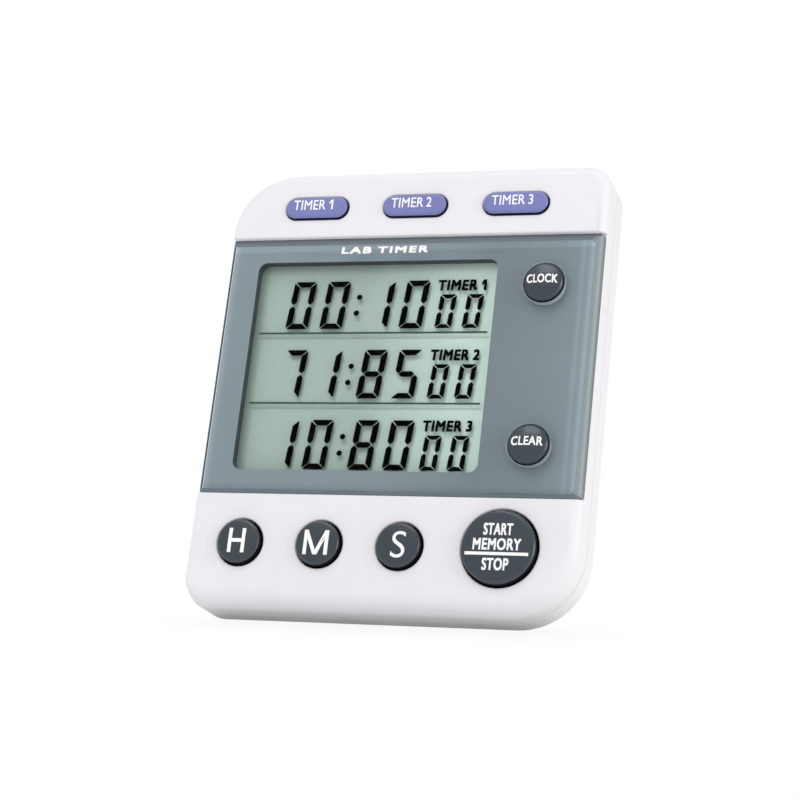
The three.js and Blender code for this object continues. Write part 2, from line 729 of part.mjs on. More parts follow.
// The stand is drawn hanging down its hinge axis, which is the X axis here, and is then swung open.
function standFrame() {
  const { halfWidth, arm, foot, thick } = STAND;
  const reach = standReach();
  const tipRadius = thick / 2;
  const plate = slab(rectangle(-halfWidth, halfWidth, -reach + tipRadius, 0, 0.01, 1), -tipRadius, tipRadius);
  const tip = rod(-halfWidth, halfWidth, 0, -reach + tipRadius, tipRadius, 16);
  const barrel = rod(-halfWidth, halfWidth, 0, 0, HINGE.barrel);
  const opening = slab(
    rectangle(-halfWidth + arm, halfWidth - arm, -reach + foot, -arm, 2.5),
    -thick,
    thick
  );
  const pinBore = rod(-halfWidth - 1, halfWidth + 1, 0, 0, HINGE.pin + 0.15);
  return shape(cut(join(solid(plate), tip, barrel), opening, pinBore));
}

function stand() {
  const mesh = piece('stand', standFrame(), COLOR.white, 0.4);
  mesh.position.set(0, HINGE.y, HINGE.z);
  mesh.rotation.x = STAND_OPEN;
  return mesh;
}

// ------------------------------------------------------------------ assembly

const timer = new THREE.Group();
timer.add(piece('front_case', frontCase(), COLOR.white, 0.35));
timer.add(piece('rear_case', rearCase(), COLOR.white, 0.35));
timer.add(...display());
timer.add(...buttons());
timer.add(...keyMats());
timer.add(...electronics());
timer.add(...buzzer());
timer.add(...battery());
timer.add(...caseFittings());
timer.add(stand());
timer.rotation.x = -LEAN;
timer.updateMatrixWorld(true);

const bounds = new THREE.Box3().setFromObject(timer, true);
timer.position.set(
  -(bounds.min.x + bounds.max.x) / 2,
  -(bounds.min.y + bounds.max.y) / 2,
  -bounds.min.z
);

const labTimer = new THREE.Group();
labTimer.add(timer);

export default labTimer;
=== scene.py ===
"""A three-channel lab timer: fine shells, buttons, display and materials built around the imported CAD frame.

Shapes are drawn upright in millimetres, as the part is drawn: X to the right, Y from the face into the
depth and Z up the face. SEAT leans that upright timer back into the row frame, which is in metres.
"""

import json
from math import asin, cos, hypot, pi, radians, sin, sqrt, tan
from types import SimpleNamespace as Sizes

import bmesh
import bpy
from mathutils import Matrix, Vector

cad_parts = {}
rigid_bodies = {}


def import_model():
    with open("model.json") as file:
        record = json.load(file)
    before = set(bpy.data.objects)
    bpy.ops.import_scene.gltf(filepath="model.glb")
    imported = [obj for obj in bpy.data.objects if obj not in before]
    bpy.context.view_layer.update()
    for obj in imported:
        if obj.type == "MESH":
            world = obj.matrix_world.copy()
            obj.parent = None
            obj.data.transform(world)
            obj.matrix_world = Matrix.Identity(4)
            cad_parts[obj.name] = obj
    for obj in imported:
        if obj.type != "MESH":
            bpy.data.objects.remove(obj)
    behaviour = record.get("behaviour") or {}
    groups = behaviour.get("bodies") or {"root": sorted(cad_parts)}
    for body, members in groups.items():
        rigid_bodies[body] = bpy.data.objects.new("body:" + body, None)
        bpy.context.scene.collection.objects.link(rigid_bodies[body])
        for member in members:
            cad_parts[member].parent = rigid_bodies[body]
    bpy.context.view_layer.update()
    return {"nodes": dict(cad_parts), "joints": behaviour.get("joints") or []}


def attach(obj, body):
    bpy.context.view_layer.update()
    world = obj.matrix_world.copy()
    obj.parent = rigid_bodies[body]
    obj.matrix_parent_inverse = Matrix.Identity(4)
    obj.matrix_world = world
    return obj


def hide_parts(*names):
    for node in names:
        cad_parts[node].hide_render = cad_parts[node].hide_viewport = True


MM = 0.001

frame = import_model()


def added(name, data):
    """A new object in the scene."""
    made = bpy.data.objects.new(name, data)
    bpy.context.scene.collection.objects.link(made)
    return made


# ---- the frame, read upright

def joint(name):
    return next(entry for entry in frame["joints"] if entry["name"] == name)


def extremes(points):
    """The least and the greatest of each coordinate."""
    return [min(values) for values in zip(*points)], [max(values) for values in zip(*points)]


def span(node, matrix):
    """The box of a CAD node's vertices after a matrix, in millimetres."""
    low, high = extremes([matrix @ vertex.co / MM for vertex in frame["nodes"][node].data.vertices])
    return Sizes(
        left=low[0], front=low[1], bottom=low[2], right=high[0], rear=high[1], top=high[2],
        x=(low[0] + high[0]) / 2, y=(low[1] + high[1]) / 2, z=(low[2] + high[2]) / 2,
        width=high[0] - low[0], height=high[2] - low[2],
    )


LEAN = asin(-joint("start_stop_press")["axis"][2])
LEAN_BACK = Matrix.Rotation(-LEAN, 4, "X")
leaned_case = span("front_case", LEAN_BACK.inverted())
SEAT = LEAN_BACK @ Matrix.Translation((0, leaned_case.front * MM, leaned_case.bottom * MM))
UPRIGHT = SEAT.inverted()


def upright(node):
    return span(node, UPRIGHT)


def within(box, side_margin, end_margin):
    """The outline of a box with margins taken off, or added where they are below 0."""
    return Sizes(
        left=box.left + side_margin, right=box.right - side_margin,
        bottom=box.bottom + end_margin, top=box.top - end_margin,
    )


FRONT = upright("front_case")
REAR = upright("rear_case")
LENS = upright("display_lens")
PRINT = upright("lens_print")
BEZEL = upright("display_bezel")
REFLECTOR = upright("lcd_reflector")
DOOR = upright("battery_door")
MAGNET = upright("magnet_strip")
CELL = upright("battery_cell")
PIN = upright("stand_hinge_pin")
BUZZER = upright("piezo_buzzer")
SPRING = upright("battery_spring")
CASE_SCREWS = {
    name: upright("case_screw_" + name)
    for name in ("lower_left", "lower_right", "upper_left", "upper_right")
}
BOARD_SCREWS = {name: upright("board_screw_" + name) for name in ("left", "right", "top")}

# ---- driving dimensions, in millimetres

CORNERS = (11.7, 4.1, 11.1, 3.7)
CASE_REAR = 13.6
WALL = 1.8
BACK = 1.6
EDGE_FRONT = 1.8
EDGE_LEFT = 0.5
EDGE_BOTTOM = 3.0
EDGE_REAR = 4.2
EDGE_STEPS = 14
TONGUE = {"outer": 1.2, "inner": 2.0, "reach": 0.8}
SEAM = REAR.front + TONGUE["reach"]
SEAM_GAP = 0.3
SEAM_ROUND = 0.12
LIP = 0.25
GAP = 0.3
# Solids that are joined reach OVERLAP into each other, and a cutter reaches PAST the face that it opens.
OVERLAP = 0.1
PAST = 1
FLOOR = Sizes(left=FRONT.left + 1, right=FRONT.right - 1, front=1.9, rear=3.3, bottom=18.4, top=66.4)
BEVEL = {"left": 0.35, "right": 1.3, "top": 1.4, "bottom": 0.6, "depth": 0.7}
LENS_RIGHT = LENS.right - 0.1
WINDOW_RADIUS = 1.6
WINDOW = within(BEZEL, 1.9, 1.9)

# A key's skirt starts at a share of its edge, and is painted near black as the shade of the gap round the
# key. Its letters follow the dome out to their reach.
SLATE = "button_slate button_skirt"
PURPLE = "button_purple purple_skirt"
LOW_KEY = {"colors": SLATE, "dome": 0.14, "skirt": 0.55, "hole_gap": 0.3, "flange": WALL + GAP}
ROUND = Sizes(radius=3.75, edge=0.6, reach=3.15, **LOW_KEY)
START = Sizes(radius=6.15, edge=0.7, reach=6.15, **LOW_KEY)
SIDE = Sizes(
    radius=3.35, edge=0.8, reach=2.55, colors=SLATE, dome=0.35, skirt=0.8, hole_gap=0.16,
    flange=FLOOR.rear + GAP
)
PILL = Sizes(
    radius=1.9, edge=0.5, reach=1, colors=PURPLE, dome=0, skirt=0.8, hole_gap=0.18, flange=0.85,
    half_length=5.6
)
KINDS = {
    "hour": ROUND, "minute": ROUND, "second": ROUND, "start_stop": START, "clock": SIDE, "clear": SIDE,
    "timer_1": PILL, "timer_2": PILL, "timer_3": PILL,
}
SIDE_KEYS = ("clock", "clear")
KEY_BOXES = {name: upright(name + "_button") for name in KINDS}
FLANGE_THICKNESS = 0.8


# ---- outlines

def outline(left, right, bottom, top, radii, segments):
    """A rounded rectangle of (x, z) points, from its bottom right corner round to its bottom left."""
    sides = ((right, bottom, -1, 1), (right, top, -1, -1), (left, top, 1, -1), (left, bottom, 1, 1))
    points = []
    for number, (radius, (x, z, across, up)) in enumerate(zip(radii, sides)):
        for step in range(segments + 1):
            turn = pi / 2 * (number - 1 + step / segments)
            points.append((x + radius * (across + cos(turn)), z + radius * (up + sin(turn))))
    return points


def box_outline(box, radius, segments=8):
    return outline(box.left, box.right, box.bottom, box.top, (radius,) * 4, segments)


def drawn_in(box, radius, segments=8, tightens=1):
    """A function of an inset that draws a box's outline in. Its radius shrinks too, unless tightens is 0."""
    return lambda inset: box_outline(within(box, inset, inset), radius - tightens * inset, segments)


def circle(x, z, radius, segments=96):
    turns = [2 * pi * step / segments for step in range(segments)]
    return [(x + radius * cos(turn), z + radius * sin(turn)) for turn in turns]


def stadium(x, z, half_width, half_height, segments=16):
    left, right, bottom, top = x - half_width, x + half_width, z - half_height, z + half_height
    return outline(left, right, bottom, top, (min(half_width, half_height) - 0.001,) * 4, segments)


def case_outline(inset, bottom_inset=None, left_inset=None):
    """The case outline drawn in by an inset. Its bottom and left sides can have insets of their own."""
    low = inset if bottom_inset is None else bottom_inset
    left = FRONT.left + (inset if left_inset is None else left_inset)
    radii = [max(radius - inset, 0.4) for radius in CORNERS]
    return outline(left, FRONT.right - inset, low, FRONT.top - inset, radii, 16)


def window_outline(grow):
    return drawn_in(WINDOW, WINDOW_RADIUS, 14)(-grow)


# ---- edges and mouths

def quarter(steps):
    """Angles from 0 to a quarter turn."""
    return [pi / 2 * step / steps for step in range(steps + 1)]


def rounded(edge, steps):
    """(depth, inset) pairs down a quarter-round edge, from its face to its side."""
    return [(edge * (1 - cos(turn)), edge * (1 - sin(turn))) for turn in quarter(steps)]


def fore(face, row, edge, steps):
    """Levels of a loft behind its front face, over a quarter-round edge. row(inset) gives an outline."""
    return [(face + depth, row(inset)) for depth, inset in rounded(edge, steps)]


def aft(face, row, edge, steps):
    """Levels of a loft up to its rear face, over a quarter-round edge. row(inset) gives an outline."""
    return [(face - depth, row(inset)) for depth, inset in reversed(rounded(edge, steps))]


def draw_in(radius, distance):
    """How far a quarter-round edge draws an outline in, at a distance from the end face."""
    rest = max(radius - distance, 0)
    return radius - sqrt(radius * radius - rest * rest)


MOUTH_POWER = 1.6
MOUTH_STEPS = 4
NUDGE = 0.001


def mouth(lip, steps=MOUTH_STEPS):
    """(depth, grow) pairs of a soft mouth, from the face that it opens in down to its plain wall."""
    return [(lip * sin(turn), lip * (1 - sin(turn)) ** MOUTH_POWER) for turn in quarter(steps)]


def flared(row, front, rear, lip):
    """A hole cutter whose front mouth opens with a soft lip. row(grow) gives its outline."""
    levels = [(front + depth - NUDGE, row(grow)) for depth, grow in mouth(lip)]
    return loft([(front - PAST, row(lip * 2)), *levels, (rear, row(0))])


def flared_behind(row, front, lip):
    """A cutter that opens through the back of the case with a soft lip. row(grow) gives its outline."""
    levels = [(front, row(0))]
    for depth, inset in reversed(rounded(1, MOUTH_STEPS)):
        levels.append((CASE_REAR - lip * depth + NUDGE, row(lip * inset ** MOUTH_POWER)))
    return loft([*levels, (CASE_REAR + PAST, row(lip * 2))])


# ---- solids

def mesh_of(sheet, mesh=None):
    """Writes a bmesh to a mesh, or to a new one, and frees it."""
    mesh = mesh or bpy.data.meshes.new("solid")
    sheet.to_mesh(mesh)
    sheet.free()
    return mesh


def skin(rings):
    """A closed solid through rings of points, all with the same count, with a flat face on each end."""
    sheet = bmesh.new()
    rows = [[sheet.verts.new(point) for point in ring] for ring in rings]
    for here, ahead in zip(rows, rows[1:]):
        for index in range(len(here)):
            beside = (index + 1) % len(here)
            sheet.faces.new([here[index], here[beside], ahead[beside], ahead[index]])
    sheet.faces.new(rows[0])
    sheet.faces.new(rows[-1])
    bmesh.ops.recalc_face_normals(sheet, faces=sheet.faces)
    return mesh_of(sheet)


def loft(levels):
    """A closed solid through rows of (x, z) outlines, each at its own depth y, as [(y, outline), ...]."""
    return skin([[(x, y, z) for x, z in row] for y, row in levels])


def slab(row, front, rear):
    return loft([(front, row), (rear, row)])


def turned(x, z, profile, segments=96):
    """A solid of revolution about a line along Y, from (radius, y) pairs."""
    return loft([(y, circle(x, z, radius, segments)) for radius, y in profile])


def prism(section, left, right):
    """A (y, z) section drawn out along X."""
    return skin([[(x, y, z) for y, z in section] for x in (left, right)])


def block(left, right, front, rear, bottom, top):
    return prism([(front, bottom), (rear, bottom), (rear, top), (front, top)], left, right)


def box_block(box, front, rear):
    return block(box.left, box.right, front, rear, box.bottom, box.top)


def rod(left, right, y, z, radius, segments=48):
    return prism(circle(y, z, radius, segments), left, right)


def soft_plate(row, front, rear, edge, steps=5):
    """A plate with quarter-round edges on both faces. row(inset) gives its outline."""
    return loft(fore(front, row, edge, steps) + aft(rear, row, edge, steps))


def pillars(boxes, radius, segments, front, rear):
    """A round pillar, or the cutter of a bore, at each of the boxes."""
    return [slab(circle(box.x, box.z, radius, segments), front, rear) for box in boxes.values()]


def boolean(base, tools, operation):
    """The base mesh after every tool is joined to it or cut from it."""
    holder = bpy.data.collections.new("tools")
    for tool in tools:
        holder.objects.link(bpy.data.objects.new("tool", tool))
    body = added("body", base)
    modifier = body.modifiers.new("boolean", "BOOLEAN")
    modifier.operand_type = "COLLECTION"
    modifier.collection = holder
    modifier.operation = operation
    modifier.solver = "MANIFOLD"
    evaluated = body.evaluated_get(bpy.context.evaluated_depsgraph_get())
    result = bpy.data.meshes.new_from_object(evaluated)
    for spare in [body, *holder.objects]:
        bpy.data.objects.remove(spare)
    bpy.data.collections.remove(holder)
    return result


def join(base, *tools):
    return boolean(base, tools, "UNION")


def cut(base, *tools):
    return boolean(base, tools, "DIFFERENCE")


def soften(mesh, width):
    """Rounds every edge that is sharper than 40 degrees."""
    sheet = bmesh.new()
    sheet.from_mesh(mesh)
    edges = [edge for edge in sheet.edges if edge.is_manifold and edge.calc_face_angle(0) > radians(40)]
    bmesh.ops.bevel(
        sheet, geom=edges, offset=width, offset_type="OFFSET", segments=3, profile=0.5,
        affect="EDGES", clamp_overlap=True,
    )
    return mesh_of(sheet, mesh)


def merged(*meshes):
    """Separate solids kept as they are in one mesh."""
    sheet = bmesh.new()
    for mesh in meshes:
        sheet.from_mesh(mesh)
    return mesh_of(sheet)


# ---- material helpers

def linear(red, green, blue):
    """A display colour in 0 to 255 as the linear colour that shaders take."""
    def channel(value):
        share = value / 255
        return share / 12.92 if share <= 0.04045 else ((share + 0.055) / 1.055) ** 2.4
    return (channel(red), channel(green), channel(blue), 1.0)


MATERIALS = {}


class Nodes:
    """A node tree of a material or the world, with short calls for the nodes that it is made of."""

    def __init__(self, owner):
        owner.use_nodes = True
        self.nodes = owner.node_tree.nodes
        self.links = owner.node_tree.links

    def give(self, node, inputs):
        """Links or sets the inputs of a node."""
        for name, value in inputs.items():
            if isinstance(value, bpy.types.NodeSocket):
                self.links.new(value, node.inputs[name])
            else:
                node.inputs[name].default_value = value

    def add(self, kind, inputs=None, out=0, **settings):
        """A new node, by the end of its type's name. What comes back is one of its outputs."""
        node = self.nodes.new("ShaderNode" + kind)
        for name, value in settings.items():
            setattr(node, name, value)
        self.give(node, inputs or {})
        return node.outputs[out]

    def mix(self, share, first, second):
        return self.add("MixShader", {0: share, 1: first, 2: second})

    def show(self, output, closure):
        self.give(self.nodes[output], {"Surface": closure})

    def from_camera(self):
        """1 for what the camera sees directly, and 0 for all other light."""
        return self.add("LightPath", out="Is Camera Ray")


class Shader(Nodes):
    """One named material, with patterns that are set by places on the upright timer."""

    def __init__(self, name, roughness=0.5, metallic=0.0, specular=0.5):
        MATERIALS[name] = bpy.data.materials.new(name)
        super().__init__(MATERIALS[name])
        self.surface = self.nodes["Principled BSDF"]
        self.finish(**{"Roughness": roughness, "Metallic": metallic, "Specular IOR Level": specular})
        self.place = self.add("Mapping", {
            "Vector": self.add("TexCoord", out="Object"),
            "Location": UPRIGHT.translation, "Rotation": UPRIGHT.to_euler(),
        })

    def finish(self, **inputs):
        """Links or sets inputs of the surface."""
        self.give(self.surface, inputs)

    def noise(self, scale, detail=2.0, stretch=(1, 1, 1)):
        scaled = self.add("Mapping", {"Vector": self.place, "Scale": stretch})
        return self.add("TexNoise", {"Vector": scaled, "Scale": scale, "Detail": detail})

    def ramp(self, factor, stops):
        """A colour ramp through (position, colour) stops."""
        node = self.add("ValToRGB", {"Fac": factor}).node
        elements = node.color_ramp.elements
        while len(elements) < len(stops):
            elements.new(1.0)
        for element, (position, color) in zip(elements, stops):
            element.position = position
            element.color = color
        return node.outputs["Color"]

    def along(self, axis, low, high):
        """0 to 1 across the upright piece, between two places in millimetres on one of its axes."""
        place = self.add("SeparateXYZ", {"Vector": self.place}, axis)
        return self.add("MapRange", {"Value": place, "From Min": low * MM, "From Max": high * MM})

    def times(self, first, second):
        """The product of two colours."""
        return self.add("Mix", {0: 1.0, 6: first, 7: second}, 2, data_type="RGBA", blend_type="MULTIPLY")

    def mottled(self, color, spread, scale, detail=2.0, stretch=(1, 1, 1)):
        """A colour that wanders by a share of itself."""
        darker = tuple(part * (1 - spread) for part in color[:3]) + (1.0,)
        lighter = tuple(part * (1 + spread) for part in color[:3]) + (1.0,)
        return self.ramp(self.noise(scale, detail, stretch), [(0.3, darker), (0.7, lighter)])

    def paint(self, color):
        self.finish(**{"Base Color": color})

    def grain(self, scale, height, stretch=(1, 1, 1)):
        """A fine surface relief of a height in millimetres."""
        relief = {"Height": self.noise(scale, 3.0, stretch), "Distance": height * MM}
        self.finish(Normal=self.add("Bump", relief))

    def polish(self, scale, low, high):
        """Roughness that wanders between two values."""
        inputs = {"Value": self.noise(scale), "From Min": 0.3, "From Max": 0.7, "To Min": low, "To Max": high}
        self.finish(Roughness=self.add("MapRange", inputs))


def plastic(name, color, roughness, grain_height=0.004, spread=0.015, specular=0.5):
    """Moulded plastic: a fine spark-eroded grain, slightly uneven gloss and a trace of colour variation."""
    shader = Shader(name, roughness, specular=specular)
    shader.paint(shader.mottled(linear(*color), spread, 90))
    shader.polish(350, roughness - 0.05, roughness + 0.06)
    shader.grain(4200, grain_height)


def metal(name, color, roughness):
    """Drawn or pressed metal with fine directional marks."""
    marks = (1, 1, 12)
    shader = Shader(name, roughness, metallic=1.0)
    shader.paint(shader.mottled(linear(*color), 0.08, 900, 3.0, marks))
    shader.polish(900, roughness * 0.7, roughness * 1.4)
    shader.grain(2700, 0.002, marks)


def rubber(name, color):
    shader = Shader(name, 0.75, specular=0.3)
    shader.paint(shader.mottled(linear(*color), 0.06, 400))
    shader.grain(2600, 0.01)


# ---- materials

WHITE = (1.0, 1.0, 1.0, 1.0)
PANEL = linear(192, 208, 217)


def panel_print():
    """The blue-grey print behind the lens, with painted light and shade: pale lines where its clear edges
    throw light on it, and darker and lighter bands across it.
    """
    shader = Shader("panel_grey", 0.45, specular=0.2)

    def shades(axis, low, high, levels):
        """A grey ramp through (millimetres from low, level) pairs."""
        stops = [(place / (high - low), (level, level, level, 1.0)) for place, level in levels]
        return shader.ramp(shader.along(axis, low, high), stops)

    width, height = PRINT.width, PRINT.height
    # Painted light and shade across and up the print.
    sides = shades("X", PRINT.left, PRINT.right, [
        (0.0, 0.80), (0.5, 0.69), (1.0, 0.63), (4.0, 0.62), (width * 0.45, 0.62), (width * 0.72, 0.50),
        (width - 9.0, 0.55), (width - 4.0, 0.60), (width - 3.4, 0.74), (width - 2.9, 0.62),
        (width - 2.4, 0.66), (width - 2.1, 0.84),
    ])
    ends = shades("Z", PRINT.bottom, PRINT.top, [
        (1.0, 0.64), (1.8, 0.74), (height - 1.9, 0.74), (height - 1.3, 0.96), (height - 0.7, 1.0),
    ])
    shader.paint(shader.times(shader.mottled(PANEL, 0.02, 60), shader.times(sides, ends)))


def clear_film(name, tint, gloss):
    """A thin see-through sheet: clear face on, with a reflection that grows towards grazing."""
    shader = Shader(name)
    waves = shader.add("Bump", {"Height": shader.noise(40, 1.0), "Distance": 0.02 * MM})
    mirror = shader.add("BsdfGlossy", {"Roughness": gloss, "Normal": waves})
    inside = shader.add("NewGeometry", out="Backfacing")
    outside = shader.add("Math", {0: 1.0, 1: inside}, operation="SUBTRACT")
    share = shader.add("Math", {0: shader.add("Fresnel", {"IOR": 1.1}), 1: outside}, operation="MULTIPLY")
    clear = shader.add("BsdfTransparent", {"Color": tint})
    shader.show("Material Output", shader.mix(share, clear, mirror))
    shader.nodes.remove(shader.surface)


def lens_edge(name, axis, low, high, colors, gloss=0.5):
    """A polished edge of the lens, where the print shows through, painted with the dark bands and bright
    lines of the edge's refraction and reflections. The colours run evenly between two places on an axis. Only
    the
    camera sees it: light still passes through to the print."""
    shader = Shader(name, 0.15, specular=gloss)
    last = len(colors) - 1
    stops = [(step / last, linear(*color)) for step, color in enumerate(colors)]
    shader.paint(shader.ramp(shader.along(axis, low, high), stops))
    shader.grain(300, 0.003)
    seen = shader.mix(shader.from_camera(), shader.add("BsdfTransparent"), shader.surface.outputs[0])
    shader.show("Material Output", seen)


def lens_edges():
    top, right, left, bottom = (BEVEL[side] for side in ("top", "right", "left", "bottom"))
    # Painted reflections: dark bands on the top, left and bottom edges, a painted highlight line on the right
    # edge and a pale painted highlight on the rims of the key holes.
    lens_edge("lens_top", "Z", LENS.top - top, LENS.top, [(104, 116, 124), (96, 104, 112), (84, 90, 98)])
    lens_edge(
        "lens_right", "X", LENS_RIGHT - right, LENS_RIGHT,
        [(134, 145, 150), (138, 148, 153), (158, 170, 173), (112, 122, 124)]
    )
    lens_edge("lens_left", "X", LENS.left, LENS.left + left, [(92, 100, 106), (126, 138, 144)], 0.0)
    lens_edge("lens_bottom", "Z", LENS.bottom, LENS.bottom + bottom, [(118, 130, 136), (106, 118, 124)])
    lens_edge("lens_rim", "Z", LENS.bottom, LENS.top, [(164, 176, 180), (176, 186, 190)])


def reflector_film():
    """The pale green-grey film behind the liquid crystal, with painted light towards its right and painted
    shadow beside the left and top walls of the window."""
    shader = Shader("lcd_reflector", 0.6, specular=0.25)
    # Painted shadow at the left wall and painted light towards the right.
    across = shader.ramp(shader.along("X", WINDOW.left, WINDOW.right), [
        (0.0, linear(138, 148, 144)),
        (0.035, linear(172, 183, 178)),
        (0.45, linear(170, 179, 176)),
        (0.8, linear(197, 210, 205)),
        (1.0, linear(217, 230, 225)),
    ])
    shade = linear(206, 206, 206)
    up = shader.ramp(shader.along("Z", WINDOW.bottom, WINDOW.top), [(0.96, WHITE), (1.0, shade)])
    sparkle = shader.mottled(WHITE, 0.035, 1600, 4.0)
    shader.paint(shader.times(shader.times(across, up), sparkle))
    shader.grain(2600, 0.004)


def board_mask():
    """Green solder mask over faint copper tracks."""
    shader = Shader("board_green", 0.35)
    shader.paint(shader.add("TexBrick", {
        "Vector": shader.place, "Scale": 240.0, "Mortar Size": 0.02,
        "Color1": linear(24, 82, 54), "Color2": linear(30, 94, 62), "Mortar": linear(40, 112, 74),
    }))
    shader.grain(1500, 0.006)


def cell_jacket():
    """A printed shrink jacket with a plain pale band at the positive end."""
    shader = Shader("cell_jacket", 0.28)
    blue, pale, gold = linear(38, 66, 120), linear(206, 208, 212), linear(176, 130, 66)
    bands = [(0.0, blue), (0.72, blue), (0.725, pale), (0.80, pale), (0.805, gold)]
    shader.paint(shader.ramp(shader.along("X", CELL.left, CELL.right), bands))
    shader.grain(700, 0.01)


plastic("case_white", (236, 235, 239), 0.42)
clear_film("lens_clear", (0.99, 1.0, 1.0, 1.0), 0.06)
lens_edges()
panel_print()
plastic("bezel_black", (62, 66, 72), 0.6)
clear_film("lcd_glass", (0.97, 0.99, 0.975, 1.0), 0.12)
reflector_film()
plastic("lcd_ink", (5, 6, 6), 0.6, specular=0.0)
plastic("lcd_rule", (72, 92, 86), 0.6, specular=0.1)
plastic("ink_white", (252, 252, 252), 0.5, 0.001, 0.003)
rubber("silicone_grey", (158, 162, 166))
plastic("button_slate", (39, 51, 61), 0.3, 0.006, 0.05, 0.75)
# Painted shade: the near-black sides of the key caps stand in for the shade in the gaps round them.
plastic("button_skirt", (16, 18, 20), 0.7, specular=0.1)
plastic("button_purple", (120, 124, 184), 0.32, 0.004, 0.04)
plastic("purple_skirt", (34, 32, 66), 0.6, specular=0.2)
board_mask()
plastic("chip_black", (28, 28, 30), 0.25)
plastic("capacitor_tan", (180, 150, 104), 0.5)
metal("brass", (214, 178, 104), 0.3)
rubber("wire_black", (26, 26, 28))
rubber("wire_red", (168, 38, 34))
cell_jacket()
rubber("magnet_black", (38, 38, 40))
metal("steel", (190, 192, 196), 0.28)


# ---- placing pieces

def place(name, mesh, materials, replaces="", body="housing", slot=None, chooser=None, smooth_below=38):
    """Makes a piece of an upright millimetre mesh, seats it in the row frame and rides it on its body.
    Its materials and the CAD nodes that it replaces are words in a string. chooser(centre, normal) gives
    the number of a face's material. The slot is not used."""
    materials = materials.split()
    mesh.materials.clear()
    for material in materials:
        mesh.materials.append(MATERIALS[material])
    for polygon in mesh.polygons:
        polygon.material_index = chooser(polygon.center, polygon.normal) if chooser else 0
    mesh.transform(SEAT @ Matrix.Scale(MM, 4))
    mesh.shade_smooth()
    mesh.set_sharp_from_angle(angle=radians(smooth_below))
    piece = added(name, mesh)
    weighted = piece.modifiers.new("weighted_normals", "WEIGHTED_NORMAL")
    weighted.keep_sharp = True
    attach(piece, body)
    slot or materials[0]
    if replaces:
        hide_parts(*replaces.split())
    return piece


# ---- lettering

INK = 0.04
THINNING = 0.7
SPREADING = 2.8


def lettering(words, x, z, width, height, front, weight, slant=0.0, raised=INK):
    """Words as thin raised ink, fitted to a width and height about (x, z) and standing on depth y = front.
    A weight in millimetres thickens every stroke by that much on each side, and sets the letters wider
    apart to make room. A weight below 0 thins them."""
    curve = bpy.data.curves.new("words", "FONT")
    curve.body = words
    curve.shear = slant
    curve.offset = THINNING * min(weight, 0.0) / height
    weight = max(weight, 0.0)
    curve.space_character = 1 + SPREADING * weight / height
    curve.space_word = 0.75
    curve.extrude = 0.5
    curve.resolution_u = 6
    temporary = added("words", curve)
    evaluated = temporary.evaluated_get(bpy.context.evaluated_depsgraph_get())
    mesh = bpy.data.meshes.new_from_object(evaluated)
    bpy.data.objects.remove(temporary)
    low, high = extremes([vertex.co for vertex in mesh.vertices])
    for vertex in mesh.vertices:
        across, up, out = ((at - least) / (most - least) for at, least, most in zip(vertex.co, low, high))
        vertex.co = (
            x + (across - 0.5) * (width - 2 * weight), front - out * raised,
            z + (up - 0.5) * (height - 2 * weight),
        )
    sheet = bmesh.new()
    sheet.from_mesh(mesh)
    bmesh.ops.remove_doubles(sheet, verts=sheet.verts, dist=1e-4)
    bmesh.ops.recalc_face_normals(sheet, faces=sheet.faces)
    mesh_of(sheet, mesh)
    if not weight:
        return mesh
    copies = []
    for across, up in ((-weight, -weight), (weight, -weight), (weight, weight), (-weight, weight)):
        copy = mesh.copy()
        copy.transform(Matrix.Translation((across, 0, up)))
        copies.append(copy)
    return join(*copies)


def stroked(lines, x, z, width, height, thickness, front, raised):
    """A letter of straight strokes, trimmed to its box. A line runs between two points of the box, each
    given as shares of its width and height."""
    def end_point(across, up):
        return Vector((x + (across - 0.5) * (width - thickness), z + (up - 0.5) * height))
    strokes = []
    for x0, z0, x1, z1 in lines:
        start, end = end_point(x0, z0), end_point(x1, z1)
        along = (end - start).normalized() * thickness
        side = Vector((-along.y, along.x)) / 2
        row = [start - along + side, start - along - side, end + along - side, end + along + side]
        strokes.append(slab(row, front - raised, front + 0.01))
    box = block(x - width / 2, x + width / 2, front - PAST, front + PAST, z - height / 2, z + height / 2)
    return boolean(join(*strokes), [box], "INTERSECT")


ONE_LINES = [(1, 0, 1, 1), (0, 0.72, 1, 0.98)]
H_LINES = [(0, 0, 0, 1), (1, 0, 1, 1), (0, 0.5, 1, 0.5)]
M_LINES = [(0, 0, 0, 1), (0, 1, 0.5, 0), (0.5, 0, 1, 1), (1, 0, 1, 1)]


def timer_words(number, x, z, width, height, front, weight, slant=0.0, raised=INK):
    """TIMER and its number. The font's 1 is a plain bar, so that numeral is drawn here with its flag."""
    style = (height, front, weight, slant, raised)
    if number != 1:
        return lettering(f"TIMER {number}", x, z, width, *style)
    word = lettering("TIMER", x - 0.095 * width, z, 0.81 * width, *style)
    thickness = 0.14 * height + 2 * weight
    one = stroked(ONE_LINES, x + 0.45 * width, z, 0.1 * width, height, thickness, front, raised)
    return merged(word, one)


# ---- case

